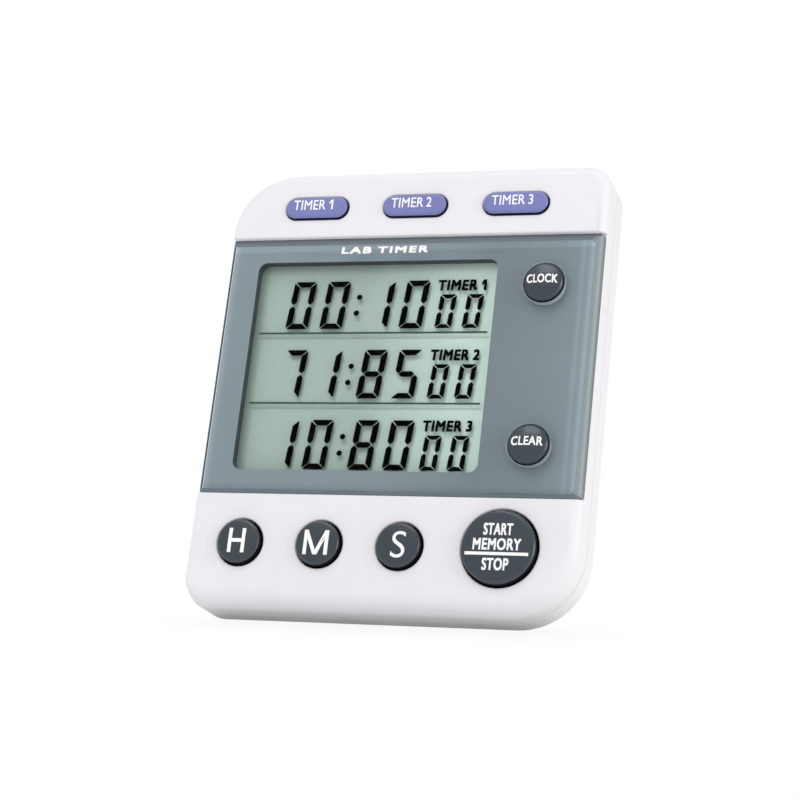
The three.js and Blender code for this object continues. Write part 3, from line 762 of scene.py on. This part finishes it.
POST = Sizes(radius=2.0, bore=1.1, rear=6.2)
BOARD_BOSS = Sizes(radius=1.5, bore=0.9, rear=6.5)
REAR_BOSS = Sizes(radius=2.6, bore=1.25, front=6.6)
SINK = Sizes(radius=2.4, floor=12.0, lip=0.35)
BAY = Sizes(left=-25.7, right=25.7, bottom=46.9, top=58.7, wall=1.1, floor=7.3, ledge=16.9, skin=18.5)
POD = Sizes(left=-27.0, right=27.0, bottom=45.0, top=66.0, radius=4.0, rear=19.6, edge=1.2, flare=0.8)
TRACK = Sizes(left=BAY.left, right=POD.right + PAST, bottom=46.2, top=59.4)
TRACK_MOUTH = Sizes(left=-23.9, right=TRACK.right, bottom=TRACK.bottom + 1.1, top=TRACK.top - 1.1)
BAY_BOX = Sizes(
    left=BAY.left - BAY.wall, right=BAY.right + BAY.wall, bottom=POD.bottom, top=TRACK.top + BAY.wall
)
POD_HOLLOW = Sizes(left=-24.5, right=24.5, bottom=BAY_BOX.top + 0.6, top=POD.top - 1.2)
SOUND = Sizes(radius=0.6, lip=0.3, half_length=6.5, pitch=3.2)
LUG = Sizes(radius=2.2, width=2.4)


def key_outline(name, grow):
    """The outline of a key, larger all round by some growth."""
    key, kind = KEY_BOXES[name], KINDS[name]
    if kind is PILL:
        return stadium(key.x, key.z, kind.half_length + grow, kind.radius + grow)
    return circle(key.x, key.z, kind.radius + grow)


def key_hole(name, lip=LIP, front=0.0):
    """The cutter for a key's hole."""
    gap = KINDS[name].hole_gap
    return flared(lambda grow: key_outline(name, gap + grow), front, 4.5, lip)


def case_cavity():
    levels = [(WALL, case_outline(WALL + 0.8)), (WALL + 0.8, case_outline(WALL))]
    return loft(levels + aft(CASE_REAR - BACK, lambda inset: case_outline(WALL + inset), EDGE_REAR - BACK, 6))


def front_blank():
    """The front shell's outside, from its rounded face edge to the softened edge at the seam."""
    levels = []
    for depth, inset in rounded(EDGE_BOTTOM, EDGE_STEPS):
        insets = [draw_in(radius, depth) for radius in (EDGE_FRONT, EDGE_BOTTOM, EDGE_LEFT)]
        levels.append((depth, case_outline(*insets)))
    return loft(levels + aft(SEAM, case_outline, SEAM_ROUND, 4))


def panel_channel():
    """The channel that the lens drops into, open at the left, with softened mouths above and below."""
    bottom, top = LENS.bottom - 0.12, LENS.top + 0.12
    section = [(-PAST, bottom - LIP * 2)]
    section += [(depth - NUDGE, bottom - grow) for depth, grow in mouth(LIP)]
    section += [(FLOOR.front, bottom), (FLOOR.front, top)]
    section += [(depth - NUDGE, top + grow) for depth, grow in reversed(mouth(LIP))]
    section += [(-PAST, top + LIP * 2)]
    return prism(section, FRONT.left - PAST, LENS_RIGHT + 0.08)


def front_shell():
    inside = WALL - OVERLAP
    posts = pillars(CASE_SCREWS, POST.radius, 32, inside, POST.rear)
    posts += pillars(BOARD_SCREWS, BOARD_BOSS.radius, 24, inside, BOARD_BOSS.rear)
    bores = pillars(CASE_SCREWS, POST.bore, 24, FLOOR.rear, 10)
    bores += pillars(BOARD_SCREWS, BOARD_BOSS.bore, 20, FLOOR.rear, 10)
    floor = box_block(FLOOR, inside, FLOOR.rear)
    opening = box_block(within(BEZEL, -GAP, -GAP), 0, 4)
    rebate = slab(case_outline(0.9), SEAM - TONGUE["reach"] - GAP, SEAM + PAST)
    holes = [key_hole(name, front=FLOOR.front if name in SIDE_KEYS else 0.0) for name in KEY_BOXES]
    shell = cut(front_blank(), case_cavity(), rebate)
    return cut(join(shell, floor, *posts), panel_channel(), opening, *holes, *bores)


def rear_blank():
    seam = fore(SEAM + SEAM_GAP, case_outline, SEAM_ROUND, 4)
    return loft(seam + aft(CASE_REAR, case_outline, EDGE_REAR, EDGE_STEPS))


def boss_trim():
    """The inside of the case outline as one solid, to trim the screw bosses."""
    levels = aft(CASE_REAR - 0.2, lambda inset: case_outline(0.3 + inset), EDGE_REAR, EDGE_STEPS)
    return loft([(3, case_outline(1.0)), *levels])


def pod():
    """The raised battery housing, flared a little where it meets the back."""
    row = drawn_in(POD, POD.radius, 12)
    levels = [(CASE_REAR - 1, row(-POD.flare))]
    levels += [(CASE_REAR + depth, row(-grow)) for depth, grow in mouth(POD.flare, 5)]
    return loft(levels + aft(POD.rear, row, POD.edge, 8))


def hinge_lugs():
    made = []
    for side in (-1, 1):
        outer = side * PIN.right
        left, right = sorted((outer - side * LUG.width, outer))
        made.append(block(left, right, CASE_REAR - 1, PIN.y, PIN.z - LUG.radius, PIN.z + LUG.radius))
        made.append(rod(left, right, PIN.y, PIN.z, LUG.radius))
    return made


def sound_slots():
    """Five slots over the buzzer, shorter away from the middle one."""
    made = []
    for number in range(-2, 3):
        reach, height = SOUND.half_length - abs(number), BUZZER.z + number * SOUND.pitch

        def slot(grow):
            return stadium(BUZZER.x, height, reach + grow, SOUND.radius + grow)
        made.append(flared_behind(slot, BUZZER.rear, SOUND.lip))
    return made


def screw_sink(screw):
    return flared_behind(lambda grow: circle(screw.x, screw.z, SINK.radius + grow, 48), SINK.floor, SINK.lip)


def rear_shell():
    tongue_front = SEAM - TONGUE["reach"]
    tongue = cut(
        slab(case_outline(TONGUE["outer"]), tongue_front, SEAM + 1),
        slab(case_outline(TONGUE["inner"]), tongue_front - PAST, SEAM + 2),
    )
    bay_box = box_block(BAY_BOX, BAY.floor - 1, CASE_REAR)
    bosses = pillars(CASE_SCREWS, REAR_BOSS.radius, 32, REAR_BOSS.front, SINK.floor + OVERLAP)
    hollow = box_block(BAY, BAY.floor, BAY.skin)
    track = box_block(TRACK, BAY.ledge, BAY.skin)
    track_mouth = box_block(TRACK_MOUTH, BAY.ledge, POD.rear + PAST)
    magnet_pocket = box_block(within(MAGNET, -GAP, -0.2), MAGNET.front - 0.1, POD.rear + PAST)
    pod_hollow = box_block(POD_HOLLOW, 10, 17.3)
    bores = pillars(CASE_SCREWS, REAR_BOSS.bore, 24, 0, 14)
    sinks = [screw_sink(screw) for screw in CASE_SCREWS.values()]
    pin_bore = rod(FRONT.left, FRONT.right, PIN.y, PIN.z, PIN.height / 2 + 0.1)
    shell = cut(rear_blank(), case_cavity())
    inside_bosses = boolean(merged(*bosses), [boss_trim()], "INTERSECT")
    full = join(shell, tongue, inside_bosses, pod(), bay_box, *hinge_lugs())
    emptied = cut(full, hollow, track, track_mouth, magnet_pocket, pod_hollow, pin_bore)
    return cut(emptied, *bores, *sinks, *sound_slots())


def build_case():
    place("front_shell", front_shell(), "case_white", "front_case")
    place("rear_shell", rear_shell(), "case_white", "rear_case")


# ---- display

LENS_CORNERS = (1.0, 1.0, 0.3, 0.3)
LENS_MATERIALS = "lens_clear lens_top lens_right lens_left lens_bottom lens_rim"


def lens_outline(inset_share):
    """The lens outline, from its full size at 0 to the edge of its flat face at 1."""
    return outline(
        LENS.left + BEVEL["left"] * inset_share, LENS_RIGHT - BEVEL["right"] * inset_share,
        LENS.bottom + BEVEL["bottom"] * inset_share, LENS.top - BEVEL["top"] * inset_share,
        LENS_CORNERS, 10
    )


def lens_panel():
    blank = loft([
        (LENS.front, lens_outline(1.04)),
        (LENS.front + 0.04, lens_outline(0.98)),
        (LENS.front + BEVEL["depth"], lens_outline(0)),
        (LENS.rear, lens_outline(0)),
    ])
    return cut(blank, *[key_hole(name, 0.2) for name in SIDE_KEYS])


def lens_face_material(centre, normal):
    """The number in LENS_MATERIALS for a face: a bevel by its side, or the rim of a key hole."""
    if abs(normal.y) > 0.98:
        return 0
    from_key = min(
        hypot(centre.x - KEY_BOXES[name].x, centre.z - KEY_BOXES[name].z) for name in SIDE_KEYS
    )
    if from_key < SIDE.radius + 1.2:
        return 5
    if abs(normal.z) > abs(normal.x):
        return 1 if normal.z > 0 else 4
    return 2 if normal.x > 0 else 3


def print_sheet():
    row = outline(LENS.left + 0.02, LENS_RIGHT - 0.1, PRINT.bottom, PRINT.top, LENS_CORNERS, 8)
    holes = [slab(key_outline(name, SIDE.hole_gap), -PAST, 4) for name in SIDE_KEYS]
    return cut(slab(row, PRINT.front, PRINT.rear), slab(window_outline(0), -PAST, 4), *holes)


def bezel_frame():
    wide, narrow, rear = window_outline(0.15), window_outline(0.0), BEZEL.rear
    opening = loft([
        (BEZEL.front - PAST, wide), (rear - 0.3, wide), (rear + 0.1, narrow), (rear + PAST, narrow)
    ])
    return cut(slab(box_outline(BEZEL, 0.5), BEZEL.front, rear), opening)


SEGMENT_FRONT = 3.62
SEGMENT_DEPTH = 0.05
SEGMENT_REAR = SEGMENT_FRONT + SEGMENT_DEPTH
COVER = Sizes(front=3.50, rear=3.56, edge=0.02)
FILM = within(REFLECTOR, 0, -2.4)
FILM_FRONT = 4.2
DIGIT_SLANT = tan(radians(5.5))
BIG = Sizes(width=4.08, height=8.65, upright=1.04, level=0.97, gap=0.13)
SMALL = Sizes(width=2.9, height=BIG.height * 0.7, upright=0.82, level=0.7, gap=0.11)
BIG_CELLS = (-20.33, -14.13, -6.03, 0.12)
SMALL_CELLS = (5.8, 10.55)
COLON = ((-9.87, 1.4), (-10.12, -1.5))
DISPLAY_ROWS = ("001000", "718500", "108000")
TOP_ROW = 54.0
ROW_PITCH = 12.5
RULES = (48.75, 36.15)
RULE_HEIGHT = 0.32
SEGMENTS_ON = {"0": "abcdef", "1": "bc", "5": "afgcd", "7": "abc", "8": "abcdefg"}


def segment(letter, size):
    """The outline of one of the seven segments, about the middle of its cell."""
    half, tall, gap, corner = size.width / 2, size.height / 2, size.gap, 0.3 * size.upright
    inner_x = half - size.upright
    inner_z = tall - size.level
    if letter == "g":
        tip = half - size.upright / 2 - gap
        rise = size.level / 2
        row = [(-tip, 0), (-inner_x + gap, rise), (inner_x - gap, rise)]
        return row + [(tip, 0), (inner_x - gap, -rise), (-inner_x + gap, -rise)]
    if letter in "ad":
        tip = half - corner / 2 - gap
        row = [(-half + corner, tall), (half - corner, tall), (tip, tall - corner / 2)]
        row += [(inner_x - gap, inner_z), (-inner_x + gap, inner_z), (-tip, tall - corner / 2)]
    else:
        waist = size.upright * 0.45 + gap
        row = [
            (half - corner / 2, tall - corner / 2 - gap), (half, tall - corner), (half, waist),
            (half - size.upright / 2, gap), (inner_x, waist), (inner_x, inner_z - gap),
        ]
    across = -1 if letter in "fe" else 1
    down = -1 if letter in "dce" else 1
    return [(x * across, z * down) for x, z in row]


def digit(character, x, z, size):
    made = []
    for letter in SEGMENTS_ON[character]:
        slanted = [(x + across + DIGIT_SLANT * up, z + up) for across, up in segment(letter, size)]
        made.append(slab(slanted, SEGMENT_FRONT, SEGMENT_REAR))
    return made


def display_row(number, characters):
    """One timer's six digits, its colon and its label."""
    centre = TOP_ROW - ROW_PITCH * number
    low = centre - BIG.height / 2 + SMALL.height / 2
    made = []
    for x, character in zip(BIG_CELLS, characters):
        made += digit(character, x, centre, BIG)
    for x, character in zip(SMALL_CELLS, characters[4:]):
        made += digit(character, x, low, SMALL)
    for x, lift in COLON:
        made.append(slab(circle(x, centre + lift, 0.48, 32), SEGMENT_FRONT, SEGMENT_REAR))
    label = timer_words(
        number + 1, x=8.25, z=centre + 3.4, width=8.5, height=1.95, front=SEGMENT_REAR,
        weight=0.095, slant=0.08, raised=SEGMENT_DEPTH
    )
    return made + [label]


def build_display():
    lens = lens_panel()
    place("lens_panel", lens, LENS_MATERIALS, "display_lens", chooser=lens_face_material, smooth_below=20)
    place("panel_print", print_sheet(), "panel_grey", "lens_print")
    place("bezel_frame", bezel_frame(), "bezel_black", "display_bezel")
    title = lettering(
        "LAB TIMER", x=-5.0, z=62.55, width=15.5, height=1.25, front=LENS.front, weight=0.09, slant=0.05
    )
    place("panel_lettering", title, "ink_white", slot="panel_grey")
    cover = soft_plate(lambda inset: window_outline(0.1 - inset), COVER.front, COVER.rear, COVER.edge, 2)
    place("lcd_cover_film", cover, "lcd_glass", "lcd_front_glass")
    solids = [solid for number, row in enumerate(DISPLAY_ROWS) for solid in display_row(number, row)]
    segments = place("lcd_segments", merged(*solids), "lcd_ink", slot="bezel_black")
    rules = [
        block(WINDOW.left + 0.8, WINDOW.right - 1.3, SEGMENT_FRONT, SEGMENT_REAR, z, z + RULE_HEIGHT)
        for z in RULES
    ]
    lines = place("lcd_rules", merged(*rules), "lcd_rule", slot="bezel_black")
    sheet = soft_plate(drawn_in(FILM, 0.3, tightens=0), FILM_FRONT, REFLECTOR.rear, 0.1, 2)
    film = place("lcd_back_sheet", sheet, "lcd_reflector", "lcd_rear_glass lcd_reflector")
    return film, [segments, lines]


# ---- buttons

def sag(reach, dome):
    """How far a domed face has dropped at a share of its radius."""
    return dome * min(reach, 1) ** 3


def round_cap(key, kind):
    """A round cap: a shallow dome, a quarter-round rim, a straight side and its retaining flange."""
    crown, front = kind.radius - kind.edge, key.front + kind.dome
    shares = (0.04, 0.2, 0.4, 0.6, 0.8, 0.95)
    profile = [(crown * share, key.front + sag(share, kind.dome)) for share in shares]
    profile += [(kind.radius - inset, front + depth) for depth, inset in rounded(kind.edge, 8)]
    flange_radius, stem_radius, flange_rear = kind.radius + 0.75, 1.6, kind.flange + FLANGE_THICKNESS
    profile += [
        (kind.radius, kind.flange), (flange_radius, kind.flange), (flange_radius, flange_rear),
        (stem_radius, flange_rear), (stem_radius, key.rear),
    ]
    return turned(key.x, key.z, profile)


def pill_cap(name, key):
    """A pill cap: a flat face, a quarter-round rim, a straight side and its retaining flange."""
    flange_front, flange = key.rear - FLANGE_THICKNESS, key_outline(name, PILL.flange)
    side = [(flange_front, key_outline(name, 0)), (flange_front, flange), (key.rear, flange)]
    return loft(fore(key.front, lambda inset: key_outline(name, -inset), PILL.edge, 7) + side)


BIG_LETTER = {"height": 4.1, "thickness": 0.62, "raised": 0.07}
START_WORDS = [("START", 2.77, 4.85, 2.0), ("MEMORY", 0.3, 7.9, 1.95), ("STOP", -2.96, 4.36, 2.0)]


def flat_legend(name, key):
    """The ink on a key, before it is draped over the dome."""
    x, z, front = key.x - 0.1, key.z, key.front
    if name == "hour":
        return stroked(H_LINES, x, z, width=2.95, front=front, **BIG_LETTER)
    if name == "minute":
        return stroked(M_LINES, x, z, width=4.25, front=front, **BIG_LETTER)
    if name == "second":
        return lettering("S", x + 0.3, z, 2.35, 4.4, front, weight=-0.03, slant=0.05, raised=0.07)
    if name in SIDE_KEYS:
        return lettering(name.upper(), x, z + 0.35, 5.25, 1.55, front, weight=0.045)
    if name == "start_stop":
        return merged(*[
            lettering(text, x, z + rise, width, height, front, weight=0.06)
            for text, rise, width, height in START_WORDS
        ])
    return timer_words(int(name[-1]), x - 0.4, z + 0.38, 7.2, 1.8, front, weight=0.02)


def key_legend(name, key, kind):
    """The ink on a key, moved down onto its dome. The bar between the words of the large key is thick
    enough to stay level."""
    ink = flat_legend(name, key)
    for vertex in ink.vertices:
        vertex.co.y += sag(hypot(vertex.co.x - key.x, vertex.co.z - key.z) / kind.reach, kind.dome)
    if kind is not START:
        return ink
    bar = block(key.x - 5.25, key.x + 5.15, key.front - INK, key.front + kind.dome, key.z - 1.5, key.z - 1.0)
    return merged(ink, bar)


def build_keys():
    """Each key has a cap, with painted shade on its skirt beyond a depth, and the ink on its face."""
    for name, kind in KINDS.items():
        key, body = KEY_BOXES[name], name + "_key"
        painted_shade_front = key.front + kind.dome + kind.edge * kind.skirt
        place(
            name + "_cap", pill_cap(name, key) if kind is PILL else round_cap(key, kind), kind.colors,
            name + "_button", body, chooser=lambda centre, normal: 1 if centre.y > painted_shade_front else 0
        )
        slot = kind.colors.split()[0]
        place(name + "_legend", key_legend(name, key, kind), "ink_white", body=body, slot=slot)


# ---- battery, back fittings and stand

NUB = 0.8


def cell_body():
    """The cell, with its rounded ends, flat base and contact nub."""
    radius = CELL.height / 2
    length = CELL.width
    shoulder = length - NUB
    profile = [(0.6, 0.0), (radius - 0.9, 0.0), (radius - 0.5, 0.15)]
    profile += [(radius - inset, 0.15 + depth) for depth, inset in rounded(0.4, 4)]
    profile += [(radius, shoulder - 0.4), (radius - 0.12, shoulder - 0.12), (radius - 0.4, shoulder)]
    profile += [(2.0, shoulder), (1.9, shoulder + 0.1), (1.9, length - 0.15), (1.7, length)]
    return skin([
        [(CELL.left + along, y, z) for y, z in circle(CELL.y, CELL.z, ring, 64)] for ring, along in profile
    ])


def cell_face_material(centre, normal):
    """0 for the jacket, 1 for the bare ends."""
    return 1 if centre.x < CELL.left + 0.1 or centre.x > CELL.right - NUB - 0.05 else 0


def helix(start, end, y, z):
    """A conical spring along X, from a narrow coil at the cell to a wide one at the wall."""
    turns, wire = 3, 0.3
    steps = turns * 28
    centres = []
    for step in range(steps + 1):
        share = step / steps
        angle = 2 * pi * turns * share
        radius = 2.0 + 1.4 * share
        centres.append(Vector((
            start + (end - start) * share, y + radius * cos(angle), z + radius * sin(angle)
        )))
    rings = []
    for step, centre in enumerate(centres):
        ahead = centres[min(step + 1, steps)] - centres[max(step - 1, 0)]
        side = ahead.cross(Vector((1, 0, 0))).normalized()
        up = side.cross(ahead).normalized()
        rings.append([centre + side * across + up * rise for across, rise in circle(0, 0, wire, 10)])
    return skin(rings)


def build_battery():
    place("cell_body", cell_body(), "cell_jacket steel", "battery_cell", chooser=cell_face_material)
    coil = helix(SPRING.right - 0.4, SPRING.left + 0.4, CELL.y, CELL.z)
    place("cell_spring", coil, "steel", "battery_spring", smooth_below=80)


PLATE = Sizes(left=DOOR.left, right=DOOR.right, bottom=TRACK_MOUTH.bottom + GAP, top=TRACK_MOUTH.top - GAP)
RUNNER = 1.2
RIB = 1.0
GROOVES = range(14, 23, 2)
GROOVE_LEVELS = ((-0.4, 0.3, 3.4), (-0.2, 0.36, 3.45), (0.5, 0.62, 3.7))
ARROW = ((6.6, DOOR.z - 2.4), (10.6, DOOR.z), (6.6, DOOR.z + 2.4))


def door_plate():
    """The sliding battery door: runners below, finger grooves and a plain arrow on its outside."""
    plate = soft_plate(drawn_in(PLATE, 0.6, 6, tightens=0), BAY.skin - OVERLAP, POD.rear, 0.25)
    runners = [
        block(DOOR.left, DOOR.right, BAY.ledge + GAP, BAY.skin + 0.1 - GAP, low, high)
        for low, high in ((TRACK.bottom + GAP, PLATE.bottom + RUNNER), (PLATE.top - RUNNER, TRACK.top - GAP))
    ]
    ribs = [
        block(DOOR.left + 0.4, DOOR.right - 0.4, BAY.skin - 0.4, BAY.skin, low, low + RIB)
        for low in (PLATE.bottom, PLATE.top - RIB)
    ]
    grooves = [
        loft([(POD.rear + depth, stadium(x, DOOR.z, *sizes, 8)) for depth, *sizes in GROOVE_LEVELS])
        for x in GROOVES
    ]
    return cut(join(plate, *runners, *ribs), *grooves, slab(ARROW, POD.rear - 0.3, POD.rear + 0.5))


SCREW = Sizes(head=2.0, head_depth=1.2, shaft=0.95, dome=0.5)


def cross_screw(box):
    """A pan-head screw seen from the back, with a domed head, a cross recess and a plain shank."""
    under_head = box.rear - SCREW.head_depth
    profile = [
        (SCREW.shaft * 0.4, box.front), (SCREW.shaft, box.front + SCREW.shaft), (SCREW.shaft, under_head),
        (SCREW.head, under_head),
    ]
    profile += [(SCREW.head - inset, box.rear - depth) for depth, inset in reversed(rounded(SCREW.dome, 5))]
    arm, slot, floor = SCREW.head * 0.62, SCREW.head * 0.15, box.rear - SCREW.head_depth * 0.5
    cross = [
        block(box.x - dx, box.x + dx, floor, box.rear + PAST, box.z - dz, box.z + dz)
        for dx, dz in ((arm, slot), (slot, arm))
    ]
    return cut(turned(box.x, box.z, profile, 48), *cross)


def buzzer_disc():
    radius, raised = BUZZER.width / 2, 7.0
    return turned(BUZZER.x, BUZZER.z, [
        (raised, BUZZER.front), (raised, BUZZER.front + 0.18), (radius, BUZZER.front + 0.2),
        (radius, BUZZER.rear - 0.05), (radius - 0.05, BUZZER.rear),
    ])


def build_back():
    place("battery_cover", door_plate(), "case_white", "battery_door", "battery_door", smooth_below=30)
    magnet = soft_plate(drawn_in(MAGNET, 0.4, 5, tightens=0), MAGNET.front, MAGNET.rear, 0.12, 3)
    place("magnet_bar", magnet, "magnet_black", "magnet_strip")
    pin = rod(PIN.left, PIN.right, PIN.y, PIN.z, PIN.height / 2, 40)
    place("hinge_pin", soften(pin, 0.15), "steel", "stand_hinge_pin")
    for name, screw in CASE_SCREWS.items():
        place("back_screw_" + name, cross_screw(screw), "steel", "case_screw_" + name)
    place("buzzer_disc", buzzer_disc(), "brass", "piezo_buzzer")


STAND_OPEN = radians(-joint("stand_fold")["range_deg"][0])
STAND_HINGE = UPRIGHT @ Vector(joint("stand_fold")["pos_m"]) / MM
STAND = Sizes(arm=6.0, foot=7.0, half_depth=1.0, edge=0.5, corner=2.0, opening_corner=2.5, barrel=2.0)


def stand_window(leg):
    """The cutter for the opening in the stand leg, with rounded mouths on both faces."""
    opening = Sizes(
        left=leg.left + STAND.arm, right=leg.right - STAND.arm, bottom=leg.bottom + STAND.foot, top=-STAND.arm
    )
    shape = drawn_in(opening, STAND.opening_corner)

    def row(grow):
        return shape(-grow)
    face, widest = STAND.half_depth, row(STAND.edge)
    levels = fore(-face, row, STAND.edge, 5) + aft(face, row, STAND.edge, 5)
    return loft([(-face - PAST, widest), *levels, (face + PAST, widest)])


def build_stand():
    """The leg is drawn hanging below its hinge axis, then swung open to where the frame has it."""
    swing = Matrix.Translation(STAND_HINGE) @ Matrix.Rotation(STAND_OPEN, 4, "X")
    metres = Matrix.Scale(MM, 4)
    leg = span("stand", metres @ swing.inverted() @ metres.inverted() @ UPRIGHT)
    below = Sizes(left=leg.left, right=leg.right, bottom=leg.bottom + 0.02, top=0)
    plate = soft_plate(drawn_in(below, STAND.corner, 6), -STAND.half_depth, STAND.half_depth, STAND.edge)
    barrel = soften(rod(leg.left, leg.right, 0, 0, STAND.barrel), 0.3)
    pin_bore = rod(leg.left - PAST, leg.right + PAST, 0, 0, PIN.height / 2 + 0.15, 40)
    mesh = cut(join(plate, barrel), stand_window(leg), pin_bore)
    mesh.transform(swing)
    place("stand_leg", mesh, "case_white", "stand", "stand", smooth_below=30)


# ---- internals that keep their CAD shape

CARRIED = {
    "silicone_grey": "contact_strip_lower contact_strip_upper key_mat_lower key_mat_upper "
                     "clock_key_pad clear_key_pad",
    "steel": "quartz_crystal board_screw_left board_screw_right board_screw_top battery_contact",
    "board_green": "circuit_board",
    "chip_black": "controller_chip",
    "capacitor_tan": "capacitor_left capacitor_right",
    "wire_black": "buzzer_lead_left battery_lead_negative",
    "wire_red": "buzzer_lead_right battery_lead_positive",
}


def finish_internals():
    for material, nodes in CARRIED.items():
        for node in nodes.split():
            carried = frame["nodes"][node]
            carried.data.materials.clear()
            carried.data.materials.append(MATERIALS[material])


# ---- stage, light and camera

CAMERA = Sizes(azimuth=18.67, elevation=0.66, distance=0.3585, lens=97.42)
AIM = Vector((0.00007, -0.00624, 0.03694))
WORLD_LIGHT = 0.69
FLOOR_LIGHT = 0.95
DISPLAY_LIGHT = 1.25


def stand_off(made, azimuth, elevation, distance):
    """Stands a light or the camera off in a direction from the timer, and turns it to the timer."""
    turn, rise = radians(azimuth), radians(elevation)
    back = Vector((sin(turn) * cos(rise), -cos(turn) * cos(rise), sin(rise)))
    made.location = AIM + back * distance
    made.rotation_mode = "QUATERNION"
    made.rotation_quaternion = (-back).to_track_quat("-Z", "Y")
    return made


def camera():
    data = bpy.data.cameras.new("camera")
    data.lens = CAMERA.lens
    data.sensor_width = 36.0
    data.clip_start = 0.01
    data.clip_end = 50
    made = stand_off(added("camera", data), CAMERA.azimuth, CAMERA.elevation, CAMERA.distance)
    bpy.context.scene.camera = made


def soft_light(name, azimuth, elevation, distance, size, power, gleams=False, tint=(1.0, 1.0, 1.0)):
    """A square panel light that faces the timer, by the direction that it stands in."""
    data = bpy.data.lights.new(name, "AREA")
    data.shape = "SQUARE"
    data.size = size
    data.energy = power
    data.color = tint
    made = stand_off(added(name, data), azimuth, elevation, distance)
    made.visible_glossy = gleams
    return made


def collected(name, pieces):
    """A collection of pieces that stays out of the scene."""
    group = bpy.data.collections.new(name)
    for piece in pieces:
        group.objects.link(piece)
    return group


def display_light(film, blockers):
    """A small light from the upper left that reaches only the display's film. The marks in front of the
    film are all that stands in its way, so each has a faint shadow below and to its right."""
    linking = soft_light("display_light", -35, 70, 0.6, 0.02, DISPLAY_LIGHT).light_linking
    linking.receiver_collection = collected("display_film", [film])
    linking.blocker_collection = collected("display_marks", blockers)


def backdrop():
    """An even light from all round, which the camera sees as pure white."""
    world = bpy.data.worlds.new("studio")
    tree = Nodes(world)
    tree.nodes.remove(tree.nodes["Background"])
    light = tree.add("Background", {"Color": (0.985, 0.985, 1.0, 1.0), "Strength": WORLD_LIGHT})
    seen = tree.add("Background", {"Color": WHITE})
    tree.show("World Output", tree.mix(tree.from_camera(), light, seen))
    bpy.context.scene.world = world


def floor_material():
    """A plain glow with a painted shadow: weaker close to the timer, and almost white to the camera."""
    material = bpy.data.materials.new("floor")
    tree = Nodes(material)
    tree.nodes.remove(tree.nodes["Principled BSDF"])
    shadow = tree.add("AmbientOcclusion", {"Distance": 0.012}, "AO", samples=4)

    def glow(least, most):
        strength = tree.add("MapRange", {"Value": shadow, "To Min": least, "To Max": most})
        return tree.add("Emission", {"Strength": strength})
    mixed = tree.mix(tree.from_camera(), glow(FLOOR_LIGHT * 0.25, FLOOR_LIGHT), glow(0.93, 1.0))
    tree.show("Material Output", mixed)
    return material


def stage():
    backdrop()
    sheet = bmesh.new()
    bmesh.ops.create_grid(sheet, x_segments=4, y_segments=4, size=3.0)
    floor = added("floor", mesh_of(sheet))
    floor.location.z = -0.0002
    floor.data.materials.append(floor_material())
    soft_light("key", -34, 40, 0.9, 0.45, 0.7)
    soft_light("side_fill", 80, 10, 0.9, 0.5, 2.6, True, (1.0, 1.0, 0.95))
    soft_light("sky", -18, 70, 0.9, 0.5, 1.85, True)
    soft_light("back_fill", 200, 35, 1.0, 0.6, 2.4)
    bpy.context.scene.view_settings.view_transform = "Standard"


# ---- the scene

build_case()
film, marks = build_display()
build_keys()
build_battery()
build_back()
build_stand()
finish_internals()
stage()
display_light(film, marks)
camera()
